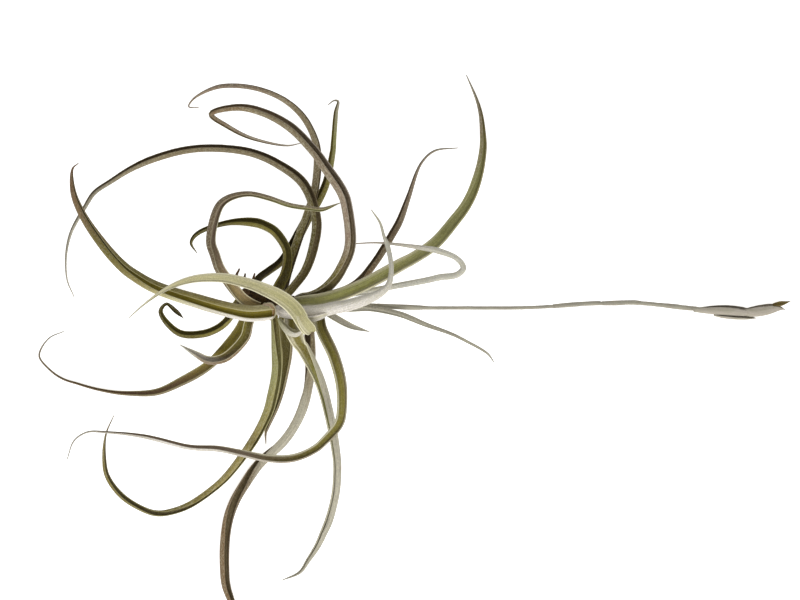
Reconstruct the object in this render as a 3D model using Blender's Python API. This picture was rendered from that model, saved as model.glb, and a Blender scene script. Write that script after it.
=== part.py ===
# Air plant lying on its side: a short stem, channelled leaves that curl, and a dried flower stalk.
# Routes are in millimetres from the plant's heart: right, up the page, height above the surface, width.
import bpy
import bmesh
import math
from mathutils import Vector, Matrix

for thing in list(bpy.data.objects):
    bpy.data.objects.remove(thing, do_unlink=True)

mm = 0.001
heart = Vector((-64.64, 27.04, 0.0))      # where the routes' zero stands, so the box is centred

leaf_wall_slope = 0.16                  # a leaf's wall grows with its width
leaf_wall_least = 0.10
bract_wall = 0.30                       # a bract's wall is thin all over
wall_share = 0.36                       # no wall is more than this share of the width
rim_share = 0.6                         # a rim is this much of the wall's thickness
steps_per_span = 2                      # stations between two route points
leaf_sides = (4, 2)                     # facets round the back of a leaf, and round its inside
bract_sides = (8, 8)                    # the same for a bract, which wraps the round stalk

stem_left = Vector((-21.5, 3.0, 45.0))
stem_right = Vector((15.5, 0.0, 45.0))
stem_radius = (2.2, 3.4, 3.4, 2.9, 2.0, 1.6)
stem_sides = 12

steep = 0.9                             # a run this close to upright keeps the last level direction
crease = 50                             # edges sharper than this many degrees aren't smoothed


# ---- materials -------------------------------------------------------------------------------

def make_material(name, colour, roughness=0.75):
    material = bpy.data.materials.new(name)
    material.use_nodes = True
    shader = material.node_tree.nodes["Principled BSDF"]
    shader.inputs["Base Color"].default_value = (*colour, 1.0)
    shader.inputs["Roughness"].default_value = roughness
    shader.inputs["Metallic"].default_value = 0.0
    return material


# ---- curves and sections ---------------------------------------------------------------------

def smooth_route(points, steps):
    """A centripetal Catmull-Rom curve through the points, with its last number carried along."""
    rows = [Vector(p) for p in points]
    rows = [2 * rows[0] - rows[1]] + rows + [2 * rows[-1] - rows[-2]]
    curve = []
    for a, b, c, d in zip(rows, rows[1:], rows[2:], rows[3:]):
        t1 = (b - a).xyz.length ** 0.5
        t2 = t1 + (c - b).xyz.length ** 0.5
        t3 = t2 + (d - c).xyz.length ** 0.5
        for k in range(steps):
            t = t1 + (t2 - t1) * k / steps
            ab = a.lerp(b, t / t1)
            bc = b.lerp(c, (t - t1) / (t2 - t1))
            cd = c.lerp(d, (t - t2) / (t3 - t2))
            abc = ab.lerp(bc, t / t2)
            bcd = bc.lerp(cd, (t - t1) / (t3 - t1))
            curve.append(abc.lerp(bcd, (t - t1) / (t2 - t1)))
    curve.append(rows[-2])
    return curve


def spread(values, share):
    """Reads a short list of values as if it were spaced evenly from 0 to 1."""
    place = share * (len(values) - 1)
    low = min(int(place), len(values) - 2)
    return values[low] + (values[low + 1] - values[low]) * (place - low)


def upward_frames(curve, opening=Vector((0, 0, 1))):
    """At each station the way ahead, and the direction square to it that is nearest to the opening."""
    places = [p.xyz for p in curve]
    ahead = [(places[1] - places[0]).normalized()]
    for before, after in zip(places, places[2:]):
        ahead.append((after - before).normalized())
    ahead.append((places[-1] - places[-2]).normalized())
    level = [way for way in ahead if abs(way.dot(opening)) < steep]
    trend = level[0]
    openings = []
    for way in ahead:
        if abs(way.dot(opening)) < steep:
            trend = way
        nearest = opening - trend * opening.dot(trend)
        openings.append((nearest - way * nearest.dot(way)).normalized())
    return places, ahead, openings


def channel_section(width, fold, sides):
    """Round a channelled section once, as (side, up) pairs: its back, then its inside.

    A leaf's section is centred on its route, and a bract's wraps round it.
    """
    outer_sides, inner_sides = sides
    half = math.radians(fold)
    back = width / 2 / math.sin(min(half, math.pi / 2))
    if sides == leaf_sides:
        wall = min(leaf_wall_slope * width + leaf_wall_least, wall_share * width)
        middle = back * (1 + math.cos(half)) / 2
    else:
        wall = min(bract_wall, wall_share * width)
        middle = 0.0
    outline = []
    for k in range(outer_sides + 1):
        angle = half * (2 * k / outer_sides - 1)
        outline.append((back * math.sin(angle), middle - back * math.cos(angle)))
    for k in range(inner_sides + 1):
        angle = half * (1 - 2 * k / inner_sides)
        depth = wall * (rim_share + (1 - rim_share) * math.cos(angle * math.pi / 2 / half))
        outline.append(((back - depth) * math.sin(angle), middle - (back - depth) * math.cos(angle)))
    return outline


def close_end(bm, ring, sides, flip):
    """Fills the end of a channel with a strip from its back to its inside."""
    outer_sides, inner_sides = sides
    back = ring[:outer_sides + 1]
    inside = list(reversed(ring[outer_sides + 1:]))
    share = outer_sides // inner_sides
    faces = []
    for k in range(inner_sides):
        faces.append(back[k * share:(k + 1) * share + 1] + [inside[k + 1], inside[k]])
    for corners in faces:
        bm.faces.new(corners if flip else list(reversed(corners)))


def skin(bm, rings):
    for one, other in zip(rings, rings[1:]):
        for k in range(len(one)):
            following = (k + 1) % len(one)
            bm.faces.new((one[k], one[following], other[following], other[k]))


def add_object(name, bm, material):
    bmesh.ops.recalc_face_normals(bm, faces=bm.faces)
    mesh = bpy.data.meshes.new(name)
    bm.to_mesh(mesh)
    bm.free()
    mesh.shade_smooth()
    mesh.set_sharp_from_angle(angle=math.radians(crease))
    mesh.materials.append(material)
    thing = bpy.data.objects.new(name, mesh)
    thing.location = heart * mm
    bpy.context.scene.collection.objects.link(thing)
    return thing


def make_channel(name, route, turn, fold, material, sides=leaf_sides):
    """A channelled ribbon along a route: a leaf, or a bract."""
    curve = smooth_route(route, steps_per_span)
    places, ahead, openings = upward_frames(curve)
    length = [0.0]
    for a, b in zip(places, places[1:]):
        length.append(length[-1] + (b - a).length)
    bm = bmesh.new()
    rings = []
    for i, place in enumerate(places):
        share = length[i] / length[-1]
        roll = Matrix.Rotation(math.radians(spread(turn, share)), 3, ahead[i])
        up = roll @ openings[i]
        side = ahead[i].cross(up)
        outline = channel_section(curve[i][3], spread(fold, share), sides)
        rings.append([bm.verts.new((place + side * s + up * u) * mm) for s, u in outline])
    skin(bm, rings)
    close_end(bm, rings[0], sides, True)
    close_end(bm, rings[-1], sides, False)
    return add_object(name, bm, material)


def make_rod(name, route, material, sides=8):
    """A round rod along a route whose last number is its diameter."""
    curve = smooth_route(route, steps_per_span)
    places, ahead, openings = upward_frames(curve)
    bm = bmesh.new()
    rings = []
    for i, place in enumerate(places):
        side = ahead[i].cross(openings[i])
        radius = curve[i][3] / 2
        ring = []
        for k in range(sides):
            angle = 2 * math.pi * k / sides
            outwards = side * math.cos(angle) + openings[i] * math.sin(angle)
            ring.append(bm.verts.new((place + outwards * radius) * mm))
        rings.append(ring)
    skin(bm, rings)
    bm.faces.new(rings[0])
    bm.faces.new(list(reversed(rings[-1])))
    return add_object(name, bm, material)


# ---- the stem --------------------------------------------------------------------------------

def stem_middle(x):
    """The stem's middle at a distance along the plant."""
    return stem_left.lerp(stem_right, (x - stem_left.x) / (stem_right.x - stem_left.x))


bark = make_material("stem_bark", (0.13, 0.08, 0.045), 0.9)
stem_step = (stem_right - stem_left) / (len(stem_radius) - 1)
stem_route = [(*(stem_left + stem_step * i), stem_radius[i] * 2) for i in range(len(stem_radius))]
make_rod("stem_core", stem_route, bark, stem_sides)


# ---- the leaves ------------------------------------------------------------------------------
# turn: which way the channel opens, from straight up, in degrees towards the right of its run.
# fold: half the angle that the channel closes through, from its base to its tip.

leaves = {
    "leaf_top_hook": {
        "colour": (0.20, 0.17, 0.11), "turn": (70, 78, 78, 76, 74, 72),
        "fold": (75, 128, 130, 130, 130, 135),
        "route": [
            (-2.4, 4.9, 41.5, 4.5), (-1.2, 10.0, 39.5, 5.0), (0.8, 18.0, 38.0, 5.0), (5.6, 34.0, 34.5, 5.0),
            (9.5, 44.5, 33.0, 4.6), (14.0, 60.0, 30.5, 4.5), (15.0, 79.0, 30.5, 4.2),
            (12.5, 88.0, 31.5, 3.9), (7.0, 97.0, 33.0, 3.6), (-2.0, 104.5, 35.0, 3.2),
            (-14.5, 109.5, 38.0, 2.9), (-27.0, 111.0, 40.0, 2.6), (-36.0, 110.0, 40.5, 2.3),
            (-47.0, 104.5, 40.0, 1.2), (-49.5, 100.5, 40.0, 0.8), (-45.0, 100.0, 40.0, 0.5),
        ]},
    "leaf_big_loop": {
        "colour": (0.26, 0.23, 0.17), "turn": (50, 64, 66, 64, 62, 64),
        "fold": (75, 126, 130, 130, 130, 130, 135),
        "route": [
            (7.6, 4.5, 45.0, 4.49), (12.1, 5.0, 46.0, 5.19), (17.2, 7.0, 48.0, 5.6),
            (22.2, 10.8, 51.5, 5.6), (27.5, 17.5, 57.5, 5.6), (32.5, 29.5, 64.5, 5.6),
            (31.0, 48.5, 71.0, 5.6), (29.0, 55.0, 72.0, 5.6), (20.5, 68.0, 71.0, 5.4),
            (15.5, 75.0, 69.5, 5.2), (3.0, 88.0, 63.0, 4.9), (-11.0, 96.0, 56.0, 4.3),
            (-24.5, 99.0, 50.5, 3.6), (-37.5, 96.0, 47.0, 2.7), (-30.0, 90.5, 45.0, 2.5),
            (-18.0, 84.5, 44.0, 1.9), (0.5, 80.5, 44.5, 0.9), (7.0, 81.5, 45.0, 0.5),
        ]},
    "leaf_great_arch": {
        "colour": (0.21, 0.18, 0.12), "turn": (50, 58, 60, 60, 60, 60),
        "fold": (75, 128, 130, 130, 130, 130),
        "route": [
            (-0.5, 4.6, 49.0, 4.8), (3.6, 9.5, 49.5, 5.0), (9.4, 17.5, 48.5, 5.0), (13.4, 29.0, 46.5, 5.1),
            (15.0, 43.0, 44.5, 5.1), (8.5, 61.0, 41.5, 5.1), (-5.0, 71.5, 38.0, 4.6),
            (-19.0, 77.5, 34.0, 4.3), (-39.5, 80.0, 29.0, 4.0), (-54.0, 79.0, 24.5, 4.0),
            (-71.5, 74.5, 18.5, 3.9), (-82.0, 70.0, 16.0, 3.3), (-93.0, 63.5, 13.0, 2.8),
            (-101.5, 58.0, 10.5, 2.5), (-106.5, 51.0, 8.0, 2.3), (-114.5, 37.5, 4.0, 1.7),
            (-117.5, 25.5, 1.0, 1.2), (-117.0, 13.0, 0.52, 0.8), (-113.5, 4.5, 1.0, 0.5),
        ]},
    "leaf_left_sweep": {
        "colour": (0.30, 0.27, 0.12), "turn": (-30, -24, -10, 25, 50, 60),
        "fold": (122, 125, 140, 140, 140, 140),
        "route": [
            (-5.2, -3.3, 52.6, 2.51), (-5.8, -3.3, 52.9, 5.51), (-7.6, -3.5, 53.6, 7.41),
            (-17.4, -4.2, 57.0, 8.19), (-27.0, -2.5, 59.5, 7.6), (-43.5, 2.0, 59.5, 7.0),
            (-64.0, 8.5, 54.0, 6.5), (-74.5, 14.0, 49.5, 6.0), (-83.0, 20.0, 46.0, 5.7),
            (-96.0, 34.5, 40.5, 4.9), (-104.5, 47.0, 36.5, 3.9), (-109.0, 58.0, 34.5, 3.0),
            (-109.5, 69.5, 32.5, 1.1), (-107.0, 72.0, 32.0, 0.5),
        ]},
    "leaf_dark_curl": {
        "colour": (0.13, 0.12, 0.04), "turn": (30, 36, 38, 40, 45),
        "fold": (70, 126, 130, 130, 135),
        "route": [
            (-6.0, 5.7, 47.0, 5.09), (-3.8, 10.0, 47.0, 5.3), (-1.0, 15.0, 46.5, 5.09),
            (0.5, 21.0, 46.0, 4.77), (0.0, 28.0, 45.0, 4.56), (-5.5, 36.5, 43.5, 4.77),
            (-10.0, 39.5, 43.0, 4.77), (-16.0, 41.5, 42.0, 4.88), (-30.5, 41.5, 38.0, 2.86),
            (-46.0, 36.0, 33.5, 2.23), (-49.0, 31.5, 32.5, 1.48), (-46.5, 27.0, 32.0, 0.5),
        ]},
    "leaf_upright": {
        "colour": (0.17, 0.16, 0.07), "turn": (-20, -48, -50, -52, -50),
        "fold": (60, 126, 130, 130, 130),
        "route": [
            (-16.2, 8.6, 40.5, 4.6), (-14.0, 12.9, 38.5, 4.4), (-8.8, 17.2, 33.0, 4.2),
            (-3.2, 21.8, 29.5, 4.3), (1.2, 28.0, 27.8, 4.6), (5.5, 35.0, 27.0, 5.4),
            (10.5, 44.5, 25.5, 5.0), (19.0, 60.5, 23.0, 4.2), (23.0, 78.5, 20.5, 3.1),
            (23.5, 85.0, 19.0, 2.8), (24.5, 99.5, 15.5, 2.4), (25.5, 105.5, 14.5, 1.3),
            (23.5, 106.0, 14.5, 0.9), (20.5, 104.0, 14.0, 0.5),
        ]},
    "leaf_s_loop": {
        "colour": (0.24, 0.20, 0.14), "turn": (-4, 30, 58, 58, 50, 40),
        "fold": (58, 100, 128, 130, 130, 135),
        "route": [
            (-10.3, 0.5, 50.2, 4.62), (-15.4, 2.2, 53.2, 6.11), (-20.7, 5.2, 56.4, 6.59),
            (-26.0, 10.0, 58.5, 6.28), (-30.1, 15.4, 60.0, 5.72), (-33.3, 20.4, 61.0, 5.42),
            (-35.4, 26.1, 61.8, 5.17), (-37.1, 33.3, 62.0, 4.97), (-33.0, 48.5, 61.5, 4.5),
            (-28.5, 53.0, 60.5, 3.8), (-18.5, 55.5, 59.0, 2.8), (-8.0, 53.5, 57.0, 2.7),
            (2.5, 50.0, 54.5, 2.5), (13.0, 48.5, 53.0, 2.3), (18.5, 48.0, 52.5, 2.2),
            (27.0, 51.0, 52.0, 0.5),
        ]},
    "leaf_cross": {
        "colour": (0.45, 0.43, 0.33), "turn": (-4, -4, -6, -10, -15),
        "fold": (58, 70, 84, 104, 130),
        "route": [
            (9.4, -2.4, 49.0, 5.8), (10.8, -7.5, 51.0, 6.7), (12.8, -12.3, 55.0, 6.9),
            (12.8, -13.6, 60.0, 7.1), (10.5, -10.5, 65.5, 7.1), (6.9, -3.4, 70.0, 7.2),
            (3.1, 0.8, 72.0, 7.09), (-2.8, 5.0, 76.0, 6.87), (-9.6, 8.1, 78.0, 6.17),
            (-16.0, 10.5, 78.5, 5.4), (-29.5, 13.5, 77.0, 4.8), (-46.0, 12.5, 72.0, 3.5),
            (-58.0, 8.0, 67.5, 2.1), (-70.0, 0.0, 63.0, 0.9), (-77.0, -6.0, 60.0, 0.5),
        ]},
    "leaf_small_curl": {
        "colour": (0.20, 0.19, 0.08), "turn": (20, 36, 38, 38, 40),
        "fold": (60, 126, 130, 130, 135),
        "route": [
            (-23.0, 2.4, 44.0, 3.9), (-25.8, -0.8, 40.5, 4.1), (-29.5, -7.0, 33.0, 4.1),
            (-35.5, -12.0, 28.0, 4.1), (-43.5, -15.0, 26.5, 4.1), (-56.0, -14.5, 26.5, 3.7),
            (-65.0, -3.5, 30.0, 2.4), (-61.5, 0.5, 31.0, 1.7), (-54.0, -6.0, 32.0, 0.5),
        ]},
    "leaf_left_low": {
        "colour": (0.22, 0.19, 0.12), "turn": (10, 14, 20, 30, 40),
        "fold": (60, 110, 125, 130, 140),
        "route": [
            (-19.5, -1.8, 41.0, 5.0), (-23.0, -11.5, 37.0, 5.4), (-34.5, -25.5, 29.0, 5.3),
            (-42.5, -32.5, 22.5, 5.1), (-55.0, -39.5, 14.0, 4.8), (-69.0, -45.5, 7.0, 3.7),
            (-83.5, -46.5, 3.0, 2.6), (-98.0, -45.0, 1.0, 1.7), (-111.5, -41.5, 0.51, 1.3),
            (-119.0, -39.0, 0.8, 1.2), (-125.5, -34.5, 2.0, 1.1), (-131.0, -27.5, 4.0, 1.0),
            (-130.0, -23.0, 5.5, 0.9), (-125.0, -17.0, 7.5, 0.7), (-118.0, -14.0, 9.0, 0.5),
        ]},
    "leaf_claw": {
        "colour": (0.22, 0.19, 0.11), "turn": (10, 24, 30, 30),
        "fold": (60, 100, 120, 130),
        "route": [
            (-16.3, -2.6, 46.2, 4.56), (-18.5, -9.5, 45.0, 5.09), (-20.5, -16.5, 42.5, 5.19),
            (-30.5, -26.5, 36.5, 4.77), (-37.0, -28.5, 34.5, 4.35), (-41.5, -28.0, 33.5, 3.82),
            (-46.0, -25.5, 34.0, 2.86), (-54.0, -20.5, 36.0, 0.5),
        ]},
    "leaf_bottom_sweep": {
        "colour": (0.34, 0.32, 0.19), "turn": (-60, -80, -95, -150, -250, -290, -295, -295),
        "fold": (60, 126, 130, 130, 130, 130, 130, 135),
        "route": [
            (-6.5, -2.6, 45.0, 4.3), (-5.5, -19.0, 45.5, 5.3), (-5.0, -33.0, 45.5, 5.4),
            (-7.5, -46.5, 42.5, 5.5), (-10.0, -55.0, 39.5, 5.3), (-17.5, -69.0, 34.0, 5.0),
            (-30.0, -86.0, 27.0, 4.4), (-37.0, -93.0, 23.5, 4.0), (-51.0, -103.0, 18.5, 3.6),
            (-58.0, -106.0, 17.0, 3.5), (-66.5, -108.0, 15.0, 3.3), (-73.5, -107.0, 13.5, 3.2),
            (-87.0, -99.5, 11.0, 3.1), (-95.0, -89.0, 10.0, 2.7), (-96.5, -79.0, 10.0, 2.1),
            (-95.5, -67.5, 10.5, 1.0), (-91.5, -58.0, 11.0, 0.5),
        ]},
    "leaf_short_down": {
        "colour": (0.30, 0.28, 0.16), "turn": (0, 0, 0, 0),
        "fold": (60, 130, 140, 140),
        "route": [
            (-1.5, -2.2, 40.8, 4.3), (-1.5, -10.5, 38.0, 5.4), (-0.5, -19.5, 34.5, 6.6),
            (-0.5, -26.5, 32.0, 5.7), (-4.5, -47.5, 23.5, 3.3), (-11.0, -63.0, 16.5, 2.3),
            (-12.0, -66.5, 16.0, 1.3), (-12.0, -71.5, 15.0, 0.5),
        ]},
    "leaf_long_bottom": {
        "colour": (0.25, 0.22, 0.16), "turn": (30, 60, 100, 95, 75, 62, 60, 60),
        "fold": (70, 120, 130, 130, 130, 130, 130, 140),
        "route": [
            (11.2, -1.6, 40.6, 5.2), (12.0, -12.5, 40.0, 5.9), (12.5, -23.0, 37.0, 5.7),
            (11.0, -40.0, 29.0, 5.7), (6.5, -56.0, 20.5, 5.6), (-2.0, -70.0, 13.0, 5.6),
            (-15.5, -83.0, 6.5, 5.5), (-22.0, -91.5, 4.0, 5.5), (-30.5, -106.0, 3.05, 5.4),
            (-34.0, -119.5, 2.47, 5.2), (-34.5, -140.5, 3.05, 4.9), (-33.5, -147.5, 4.0, 4.6),
            (-31.0, -154.0, 6.0, 3.9), (-26.5, -163.0, 10.0, 2.8), (-18.0, -174.0, 16.0, 0.5),
        ]},
    "leaf_pale_straight": {
        "colour": (0.40, 0.40, 0.29), "turn": (-4, 0, 18, 30, 32, 28, 22, 20),
        "fold": (50, 80, 125, 140, 140, 140, 140, 140),
        "route": [
            (2.6, -2.5, 47.4, 5.64), (3.0, -7.0, 50.8, 7.03), (3.9, -11.3, 53.8, 8.76),
            (5.8, -15.5, 55.0, 8.25), (7.3, -19.1, 51.0, 6.92), (9.0, -21.5, 48.5, 6.7),
            (12.5, -28.0, 47.5, 6.2), (17.5, -39.5, 45.0, 5.5), (21.5, -55.0, 38.5, 5.0),
            (25.0, -75.5, 33.0, 4.4), (25.5, -83.0, 30.5, 4.3), (24.5, -96.5, 24.5, 4.2),
            (21.0, -111.0, 17.5, 4.3), (18.0, -118.0, 15.0, 3.9), (14.5, -125.5, 13.0, 3.3),
            (10.0, -132.5, 12.0, 2.6), (5.5, -139.0, 11.5, 1.8), (-3.5, -143.0, 11.0, 0.5),
        ]},
    "leaf_down_arc": {
        "colour": (0.30, 0.27, 0.17), "turn": (-15, -20, -10, 22, 34, 38, 40, 40),
        "fold": (60, 110, 118, 120, 120, 120, 120, 130),
        "route": [
            (15.4, -3.2, 46.5, 5.2), (18.0, -12.5, 53.5, 5.8), (24.5, -26.0, 60.0, 5.7),
            (28.0, -38.5, 62.5, 5.5), (28.5, -52.0, 62.0, 5.1), (27.0, -59.0, 60.0, 4.9),
            (19.5, -68.0, 56.5, 4.3), (15.0, -72.0, 54.5, 4.1), (3.5, -77.0, 49.5, 4.1),
            (-9.5, -77.5, 45.0, 3.9), (-23.5, -75.0, 42.0, 3.6), (-35.0, -73.0, 40.5, 3.2),
            (-49.0, -72.5, 38.5, 3.0), (-73.0, -67.0, 35.5, 2.3), (-92.0, -65.0, 33.5, 1.3),
            (-102.0, -65.0, 32.0, 1.0), (-109.0, -69.5, 31.0, 0.8), (-112.5, -78.5, 30.0, 0.5),
        ]},
    "leaf_short_right": {
        "colour": (0.35, 0.34, 0.25), "turn": (0, 20),
        "fold": (60, 110),
        "route": [
            (17.4, -1.8, 41.6, 3.2), (24.0, -6.0, 40.0, 3.5), (32.5, -10.5, 38.0, 3.0),
            (41.5, -13.5, 36.0, 0.5),
        ]},
    "leaf_right_down": {
        "colour": (0.38, 0.37, 0.30), "turn": (0, 60, 70, 70),
        "fold": (60, 125, 130, 130),
        "route": [
            (18.5, -1.2, 47.0, 3.2), (30.0, -1.5, 47.0, 3.6), (42.5, -1.5, 46.0, 3.2),
            (57.5, -4.5, 44.0, 3.1), (64.0, -7.0, 42.0, 3.0), (71.0, -10.0, 38.5, 2.5),
            (84.5, -15.0, 33.0, 1.9), (91.5, -18.5, 30.0, 1.6), (102.5, -25.0, 27.0, 1.2),
            (105.5, -29.0, 26.0, 0.5),
        ]},
    "leaf_long_right": {
        "colour": (0.30, 0.30, 0.15), "turn": (0, -2, -6, -2, 15, 30, 30),
        "fold": (100, 112, 112, 118, 140, 140, 140),
        "route": [
            (9.8, 1.8, 50.2, 5.8), (17.5, 2.5, 51.0, 6.7), (31.0, 6.5, 50.5, 6.8), (44.0, 12.5, 48.0, 6.7),
            (57.5, 20.0, 44.5, 6.7), (64.0, 23.5, 42.5, 6.2), (75.3, 31.4, 38.0, 6.09),
            (84.0, 41.5, 32.0, 6.02), (91.9, 52.3, 26.0, 5.64), (97.2, 64.9, 20.0, 5.05),
            (100.3, 79.2, 14.5, 4.04), (100.6, 88.3, 11.0, 3.33), (98.6, 104.5, 3.4, 1.88),
            (92.5, 120.0, 0.24, 0.5),
        ]},
    "leaf_brown_right": {
        "colour": (0.20, 0.16, 0.11), "turn": (0, -58, -60, -60),
        "fold": (60, 126, 130, 130),
        "route": [
            (10.4, 4.2, 40.4, 4.1), (16.0, 5.0, 39.0, 4.3), (34.5, 10.5, 35.0, 4.3),
            (44.5, 21.0, 31.5, 4.2), (54.0, 36.5, 26.0, 4.1), (57.5, 43.0, 24.0, 3.9),
            (62.0, 55.5, 20.5, 2.8), (68.5, 73.0, 19.5, 1.4), (75.5, 79.5, 18.5, 1.2),
            (87.0, 81.0, 18.0, 0.5),
        ]},
    "leaf_silver_loop": {
        "colour": (0.42, 0.41, 0.37), "turn": (60, 80, 100, 110, 120),
        "fold": (80, 120, 130, 130, 140),
        "route": [
            (17.8, 2.1, 44.4, 2.6), (26.0, 4.0, 43.0, 2.8), (35.5, 6.0, 42.5, 3.1), (43.0, 7.5, 43.5, 3.2),
            (57.5, 10.0, 48.0, 3.7), (71.0, 12.5, 52.5, 3.7), (77.5, 14.0, 54.0, 3.7),
            (86.0, 15.3, 55.5, 3.5), (89.0, 18.5, 56.0, 3.3), (86.0, 23.0, 56.5, 2.9),
            (76.0, 27.0, 57.0, 3.2), (71.0, 28.0, 57.0, 2.8), (47.5, 31.0, 56.0, 1.0),
            (33.0, 30.5, 56.0, 0.5),
        ]},
    "leaf_white_kinked": {
        "colour": (0.55, 0.54, 0.50), "turn": (180, 180, 150, 162),
        "fold": (50, 70, 90, 110, 125),
        "route": [
            (-3.0, -3.0, 50.8, 4.52), (3.0, -4.0, 54.0, 5.81), (17.5, -3.0, 61.0, 6.2),
            (24.5, -1.5, 64.5, 6.2), (31.5, 0.0, 67.0, 6.2), (43.0, 4.0, 69.0, 5.3), (48.0, 6.5, 69.0, 4.2),
            (51.5, 10.0, 68.5, 3.3), (53.0, 17.5, 67.0, 2.5), (51.0, 30.0, 64.0, 2.4),
            (49.5, 34.0, 63.5, 1.6), (47.5, 41.0, 61.5, 1.2), (43.5, 47.0, 60.0, 0.5),
        ]},
    "leaf_under_left": {
        "colour": (0.27, 0.24, 0.15), "turn": (180, 150, 120),
        "fold": (60, 90, 125),
        "route": [
            (-12.5, 2.5, 40.46, 4.3), (-19.0, 1.5, 34.06, 5.0), (-29.5, -2.0, 24.06, 5.0),
            (-43.5, 1.0, 13.06, 4.3), (-57.0, 4.5, 5.06, 3.2), (-68.0, 7.5, 1.09, 1.9),
            (-76.0, 11.5, 1.06, 0.5),
        ]},
    "leaf_under_right": {
        "colour": (0.27, 0.24, 0.15), "turn": (180, 150, 120),
        "fold": (60, 90, 125),
        "route": [
            (5.0, 1.5, 40.8, 4.3), (15.0, 2.0, 34.0, 4.8), (26.5, 5.0, 24.0, 4.8), (37.0, 9.0, 11.0, 3.7),
            (44.5, 13.0, 3.0, 2.2), (50.0, 15.0, 0.27, 0.5),
        ]},
    "leaf_under_front": {
        "colour": (0.27, 0.24, 0.15), "turn": (180, 150, 120),
        "fold": (60, 90, 125),
        "route": [
            (1.5, -0.5, 36.5, 4.3), (2.5, -8.5, 32.0, 4.8), (6.5, -18.0, 24.0, 4.8),
            (11.0, -28.0, 13.0, 4.1), (15.5, -38.0, 4.0, 2.6), (18.5, -47.0, 0.27, 0.5),
        ]},
}

for name, leaf in leaves.items():
    make_channel(name, leaf["route"], leaf["turn"], leaf["fold"], make_material(name, leaf["colour"]))


# ---- old dry scales round the stem's left end ------------------------------------------------
# Each is a short curved plate that hugs the stem: where it starts, how far it turns, its length.

scale_wall = 0.45
scale_clear = 0.35                      # air between the stem and a scale
scale_flare = 0.5                       # how much farther the torn end stands off
scale_rows, scale_columns = 4, 6
scale_base, scale_taper = 1.02, 0.94    # the sweep narrows as the root of their difference
dry_scales = {
    "dry_scale_1": {"middle": 60, "sweep": 62, "start": -20.5, "length": 5.0},
    "dry_scale_2": {"middle": 150, "sweep": 56, "start": -20.0, "length": 2.0},
    "dry_scale_3": {"middle": 235, "sweep": 60, "start": -17.0, "length": 5.5},
    "dry_scale_4": {"middle": 320, "sweep": 64, "start": -19.0, "length": 5.0},
}
scale_brown = make_material("dry_scale", (0.10, 0.06, 0.03), 0.85)


def make_scale(name, middle, sweep, start, length):
    """A plate round the stem that lifts away from it and narrows towards the left."""
    bm = bmesh.new()
    rings = []
    for r in range(scale_rows + 1):
        share = r / scale_rows
        x = start - length * (share - 0.5)
        centre = stem_middle(x)
        lift = max(stem_radius) + scale_clear + scale_flare * share * share
        half = math.radians(sweep) / 2 * math.sqrt(scale_base - share * share * scale_taper)
        outline = []
        there = range(scale_columns + 1)
        for radius, order in ((lift + scale_wall, there), (lift, reversed(there))):
            for c in order:
                angle = math.radians(middle) + half * (2 * c / scale_columns - 1)
                reach = Vector((0, math.cos(angle), math.sin(angle))) * radius
                outline.append(bm.verts.new((centre + reach) * mm))
        rings.append(outline)
    skin(bm, rings)
    for ring, flip in ((rings[0], True), (rings[-1], False)):
        for c in range(scale_columns):
            corners = [ring[c], ring[c + 1], ring[-2 - c], ring[-1 - c]]
            bm.faces.new(corners if flip else list(reversed(corners)))
    return add_object(name, bm, scale_brown)


for name, scale in dry_scales.items():
    make_scale(name, **scale)


# ---- wiry root ends --------------------------------------------------------------------------

root_brown = make_material("root_stub", (0.16, 0.10, 0.06), 0.9)
roots = {
    "root_stub_1": [
        (-23.0, 6.6, 43.5, 1.1), (-24.6, 12.0, 43.0, 0.9), (-24.2, 15.5, 43.0, 0.8),
        (-22.4, 18.2, 43.0, 0.5),
    ],
    "root_stub_2": [(-19.8, 8.4, 41.5, 1.2), (-20.6, 12.5, 41.5, 1.2), (-20.2, 16.4, 42.0, 0.5)],
    "root_stub_3": [(-17.6, 8.2, 43.6, 1.2), (-17.2, 11.5, 43.6, 1.2), (-15.6, 14.8, 43.5, 0.6)],
}
for name, route in roots.items():
    make_rod(name, route, root_brown, 6)


# ---- the flower stalk and its dried spike ----------------------------------------------------

stalk_grey = make_material("flower_stalk", (0.38, 0.35, 0.31), 0.8)
stalk_route = [
    (17.6, -0.2, 44.2, 1.9), (24.0, 0.3, 43.0, 1.9), (40.0, 0.0, 42.5, 1.9), (57.5, -1.0, 41.0, 1.9),
    (71.0, -1.5, 39.5, 1.8), (84.5, -1.5, 37.5, 1.8), (118.5, -1.5, 32.0, 1.8), (131.5, -1.0, 29.5, 1.8),
    (148.0, 0.2, 26.0, 1.8), (171.0, 1.0, 20.0, 1.7), (180.0, 1.0, 17.0, 1.7), (192.0, 0.0, 13.0, 1.7),
    (207.0, -1.5, 7.8, 1.6), (218.0, -2.5, 4.4, 1.4), (228.0, -2.7, 2.9, 1.2), (235.0, -2.4, 2.8, 0.9),
]
make_rod("flower_stalk", stalk_route, stalk_grey, 8)

papery = make_material("papery_bract", (0.42, 0.38, 0.34), 0.85)


def on_stalk(x, width, lift, turn):
    """A route point along the stalk, lifted off its middle towards a sheath's back."""
    curve = smooth_route(stalk_route, 6)
    for a, b in zip(curve, curve[1:]):
        if a.x <= x <= b.x:
            place = a.lerp(b, (x - a.x) / (b.x - a.x))
    angle = math.radians(turn)
    return (x, place.y + lift * math.sin(angle), place.z - lift * math.cos(angle), width)


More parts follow.
